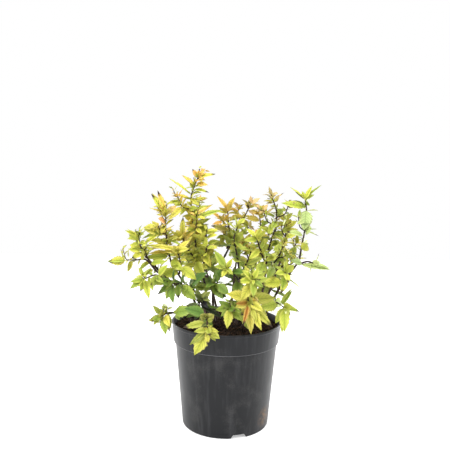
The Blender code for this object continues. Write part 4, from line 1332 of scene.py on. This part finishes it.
potLook = dict(
    black=(0.0055, 0.006, 0.0075), worn=(0.06, 0.06, 0.065), wornPart=0.4, wornPlace=(0.48, 0.80),
    dust=(0.08, 0.077, 0.075), dustPart=0.25, dustPlace=(0.80, 1.0),
    # seam: a painted highlight along the ledge at the foot of the collar, broken up by noise
    seam=(0.20, 0.20, 0.21), seamRise=0.5, seamHighlightPlace=(0.9, 0.3), seamHighlightNoise=(1.2, 0.1),
    stain=(0.13, 0.062, 0.020), stainPlace=(0.060, -0.036, 0.022), stainReach=(0.019, 0.006),
    streaks=(110, 110, 7), blotPlace=(0.36, 0.72),
    # each noise's scale, detail and, where it isn't the usual one, roughness
    scuffs=(1.0, 5.0, 0.6), clouds=(34.0, 4.0), specks=(900.0, 2.0), blots=(210.0, 3.0),
    roughness=(0.30, 0.48), specular=0.24, bump=0.25, bumpDepth=0.0002, sharpAngle=50,
)


def roundedLine(line, radius, steps=4, most=0.45):  # rounds the corners of an outline
    made = [Vector(line[0])]
    for before, at, after in zip(line, line[1:], line[2:]):
        before, at, after = Vector(before), Vector(at), Vector(after)
        reach = min(radius, (before - at).length * most, (after - at).length * most)
        start = at + (before - at).normalized() * reach
        end = at + (after - at).normalized() * reach
        for k in range(steps + 1):
            t = k / steps
            made.append(start.lerp(at, t).lerp(at.lerp(end, t), t))
    made.append(Vector(line[-1]))
    return [tuple(point) for point in made]


def wedge(turn):  # a notch's cut
    wide = potSize["notchWidth"] / 2 + 1
    narrow = potSize["notchWidth"] / 2 - potSize["notchFlare"]
    low, high = -potSize["past"], potSize["notchHeight"]
    spin = Matrix.Rotation(math.radians(turn), 3, "Z")
    verts = []
    for radius in (potSize["foot"] - potSize["notchReach"], potSize["foot"] + potSize["notchReach"]):
        for y, z in ((-wide, low), (wide, low), (narrow, high), (-narrow, high)):
            verts.append(spin @ Vector((radius, y, z)))
    return verts, [(3, 2, 1, 0), (4, 5, 6, 7), (0, 1, 5, 4), (1, 2, 6, 5), (2, 3, 7, 6), (3, 0, 4, 7)]


def drain(turn):
    ends = (-potSize["past"], potSize["wall"] + potSize["past"])
    line = [Vector((potSize["drainRing"], 0, z + potSize["skirt"])) for z in ends]
    verts, faces = limb(line, [potSize["drainRadius"]] * 2, potSize["drainSides"])
    spin = Matrix.Rotation(math.radians(turn), 3, "Z")
    return [spin @ corner for corner in verts], faces


def potMaterial():
    look = potLook
    made, tree = newMaterial("blackPlastic")
    place = node(tree, "ShaderNodeTexCoord").outputs["Object"]
    drawn = node(tree, "ShaderNodeMapping", Vector=place, Scale=look["streaks"]).outputs["Vector"]
    scuffs = noiseAt(tree, drawn, *look["scuffs"])
    cloud, speck, blots = (noiseAt(tree, place, *look[key]) for key in ("clouds", "specks", "blots"))
    rubbed = calc(tree, "MULTIPLY", ramp(tree, scuffs, *look["wornPlace"]), look["wornPart"])
    dusty = ramp(tree, calc(tree, "MULTIPLY_ADD", speck, 0.5, cloud), *look["dustPlace"])
    # A band at the collar's seam gets a painted highlight in the seam colour
    seam = (potSize["height"] - potSize["collarHeight"] + look["seamRise"]) * mm
    height = node(tree, "ShaderNodeSeparateXYZ", Vector=place).outputs["Z"]
    off = calc(tree, "ABSOLUTE", calc(tree, "SUBTRACT", height, seam))
    edge = ramp(tree, off, *(part * mm for part in look["seamHighlightPlace"]))
    away = node(tree, "ShaderNodeVectorMath", {"operation": "DISTANCE"}, Vector=place)
    plug(tree, away.inputs[1], look["stainPlace"])
    near = ramp(tree, away.outputs["Value"], *look["stainReach"])
    caked = ramp(tree, blots, *look["blotPlace"])
    colour = look["black"]
    for mask, paint in (
        (rubbed, "worn"), (calc(tree, "MULTIPLY", dusty, look["dustPart"]), "dust"),
        (calc(tree, "MULTIPLY", edge, calc(tree, "MULTIPLY_ADD", cloud, *look["seamHighlightNoise"])), "seam"),
        (calc(tree, "MULTIPLY", near, caked), "stain"),
    ):
        colour = mixColours(tree, mask, colour, look[paint])
    rough = ramp(tree, cloud, 0.0, 1.0, To_Min=look["roughness"][0], To_Max=look["roughness"][1])
    dress(tree, look, colour, rough, scuffs)
    return made


def makePot():
    outline = outsideLine()
    fine = [outline[0], *roundedLine(outline[1:-1], potSize["bead"]), outline[-1]]
    shell = meshObject("potShell", *turned(fine, potSize["fineSides"]))
    start, notches, drains = (potSize[key] for key in ("notchTurn", "notches", "drains"))
    cuts = [wedge(start + 360 * k / notches) for k in range(notches)]
    cuts += [drain(start + 360 * (k + 0.5) / drains) for k in range(drains)]
    cutter = meshObject("drainCuts", *joined(cuts))
    cutting = shell.modifiers.new("Drainage", "BOOLEAN")
    cutting.operation = "DIFFERENCE"
    cutting.object = cutter
    cutting.solver = "EXACT"
    mesh = settle(shell)
    shell.data = mesh
    bpy.data.objects.remove(cutter)
    mesh.materials.clear()
    mesh.materials.append(potMaterial())
    keepPiece(shell, "pot_plastic", "pot")
    mesh.set_sharp_from_angle(angle=math.radians(potLook["sharpAngle"]))


# Buds, the small dark ones at the feet of leaves

budLook = dict(seed=3, chance=0.4, sizes=(0.8, 1.5), long=1.7, off=0.4, brown=(0.022, 0.010, 0.007))


def makeBuds(grown, tree):
    rng = random.Random(budLook["seed"])
    buds = []
    for one in grown.values():
        for leaf in one["leaves"]:
            if rng.random() < budLook["chance"]:
                size = rng.uniform(*budLook["sizes"])
                buds.append(dict(
                    leaf, root=leaf["root"] + leaf["normal"] * size * budLook["off"], width=size,
                    length=size * budLook["long"], droop=0.0, bend=0, shade=0.0, scorch=0.0,
                ))
    shapes = shapeCollection("budShapes", [ballMesh("budShape", 0.5)])
    bark = barkMaterial("budBark", budLook["brown"], barkLook["young"], barkLook["youngRoughness"])
    points = leafPoints("budPoints", buds)
    points.data.attributes["shape"].data.foreach_set("value", [0] * len(buds))
    inputs = {"Shapes": shapes, "Face": bark, "Back": bark}
    plainPiece("buds", points, tree, inputs, "cane_bark", *("leaves_" + name for name in grown))
    return shapes


# The whole plant

makePot()
compost = makeSoil()
used = [makeCrumbs(compost)]
canes, grown = growPlant()
print("planned", sum(len(one["leaves"]) for one in grown.values()), "leaves")
twiglets, dry = growFiner(grown)
caneNodes = ["cane_" + name for name in canes]
leafNodes = ["leaves_" + name for name in grown]
limbs = limbTree()
oldBark = barkMaterial("caneBark", barkLook["old"], barkLook["pale"], barkLook["oldRoughness"])
youngBark = barkMaterial("stemBark", barkLook["old"], barkLook["young"], barkLook["youngRoughness"])
caneLines = lineObject("caneLines", [fineCane(line) for line in canes.values()])
plainPiece("canes", caneLines, limbs, limbInputs(caneLook, oldBark), "cane_bark", *caneNodes)
stems = []
for one in grown.values():
    for k, line in enumerate(one["lines"]):
        smooth = spline(line, stemLook["step"])
        ends = ("twigFoot", "twigTip") if k else ("foot", "tip")
        stems.append((smooth, taper(smooth, *(stemSize[end] * stemLook["thicker"] for end in ends))))
stemLines = lineObject("stemLines", stems)
plainPiece("youngStems", stemLines, limbs, limbInputs(stemLook, youngBark), "cane_bark", *leafNodes)
thick = fineRule["twigletRadius"]
finest = [(twig, taper(twig, thick, thick * fineRule["twigletTip"])) for twig in twiglets + dry]
finestLook = dict(stemLook, sides=fineRule["twigletSides"])
twigletLines = lineObject("twigletLines", finest)
plainPiece("twiglets", twigletLines, limbs, limbInputs(finestLook, youngBark), "cane_bark", *leafNodes)

pattern = leafPattern()
shapes = leafShapes()
growLeaf = leafTree()
for tint, leaves in tintLeaves(grown).items():
    if leaves:
        piece = plainPiece(tint + "Leaves", leafPoints(tint + "Points", leaves), growLeaf, {
            "Shapes": shapes, "Face": leafMaterial(tint + "Face", pattern, *leafTints[tint], False),
            "Back": leafMaterial(tint + "Back", pattern, *leafTints[tint], True),
        }, "foliage", *leafNodes)
        piece.data.set_sharp_from_angle(angle=math.radians(leafLook["sharpAngle"]))
used += [shapes, makeBuds(grown, growLeaf)]
for collection in used:
    for thing in list(collection.objects):
        bpy.data.objects.remove(thing)
    bpy.data.collections.remove(collection)


# Floor, light and camera

studio = dict(
    floor=3.0, level=-0.2, white=(0.7, 0.7, 0.7, 1), roughness=0.8, glow=0.4, sky=1.0, aim=(0, 0, 0.2),
    lamps=dict(  # each one's place, size and watts
        keyLight=((-0.9, -1.2, 1.7), 0.8, 32.0),
        fillLight=((1.2, -0.8, 1.1), 1.2, 8.0),
        topLight=((0.1, 0.3, 2.0), 1.0, 18.0),
        rightStrip=((0.80, 0.65, 0.30), 0.26, 9.0),
        leftStrip=((-0.85, 0.65, 0.30), 0.26, 6.2),
    ),
)
# The photo's camera: its place in metres, its tilt and roll in degrees, and its focal length in pixels of 450
photoCamera = dict(place=(-0.0045, -0.890, 0.4144), tilt=6.66, roll=0.84, focal=586.1, frame=450, sensor=36.0)


def makeStudio():
    half = studio["floor"] / 2 / mm
    around = ((-1, -1), (1, -1), (1, 1), (-1, 1))
    corners = [Vector((x * half, y * half, studio["level"])) for x, y in around]
    floor = meshObject("floor", corners, [(0, 1, 2, 3)])
    paint, tree = newMaterial("paleFloor")
    for label, value in (
        ("Base Color", studio["white"]), ("Roughness", studio["roughness"]), ("Emission Color", (1, 1, 1, 1)),
        ("Emission Strength", studio["glow"]),
    ):
        plug(tree, tree.nodes["Principled BSDF"].inputs[label], value)
    floor.data.materials.append(paint)
    world = bpy.data.worlds.new("paleRoom")
    world.use_nodes = True
    sky = world.node_tree.nodes["Background"].inputs
    sky["Color"].default_value = (1, 1, 1, 1)
    sky["Strength"].default_value = studio["sky"]
    bpy.context.scene.world = world
    for name, (place, size, watts) in studio["lamps"].items():
        light = bpy.data.lights.new(name, "AREA")
        light.shape = "DISK"
        light.size = size
        light.energy = watts
        lamp = addObject(name, light)
        lamp.location = place
        lamp.rotation_euler = (Vector(studio["aim"]) - lamp.location).to_track_quat("-Z", "Y").to_euler()
    bpy.context.scene.view_settings.view_transform = "Standard"
    bpy.context.scene.view_settings.look = "None"


def makeCamera():
    tilt, roll = math.radians(photoCamera["tilt"]), math.radians(photoCamera["roll"])
    ahead = Vector((0, math.cos(tilt), -math.sin(tilt)))
    level = Vector((1, 0, 0))
    above = Vector((0, math.sin(tilt), math.cos(tilt)))
    right = level * math.cos(roll) + above * math.sin(roll)
    over = above * math.cos(roll) - level * math.sin(roll)
    data = bpy.data.cameras.new("photoCamera")
    data.sensor_width = photoCamera["sensor"]
    data.lens = photoCamera["focal"] / photoCamera["frame"] * photoCamera["sensor"]
    camera = addObject("photoCamera", data)
    turn = Matrix((right, over, -ahead)).transposed().to_4x4()
    camera.matrix_world = Matrix.Translation(photoCamera["place"]) @ turn
    bpy.context.scene.camera = camera


makeStudio()
makeCamera()
print("studio ready")
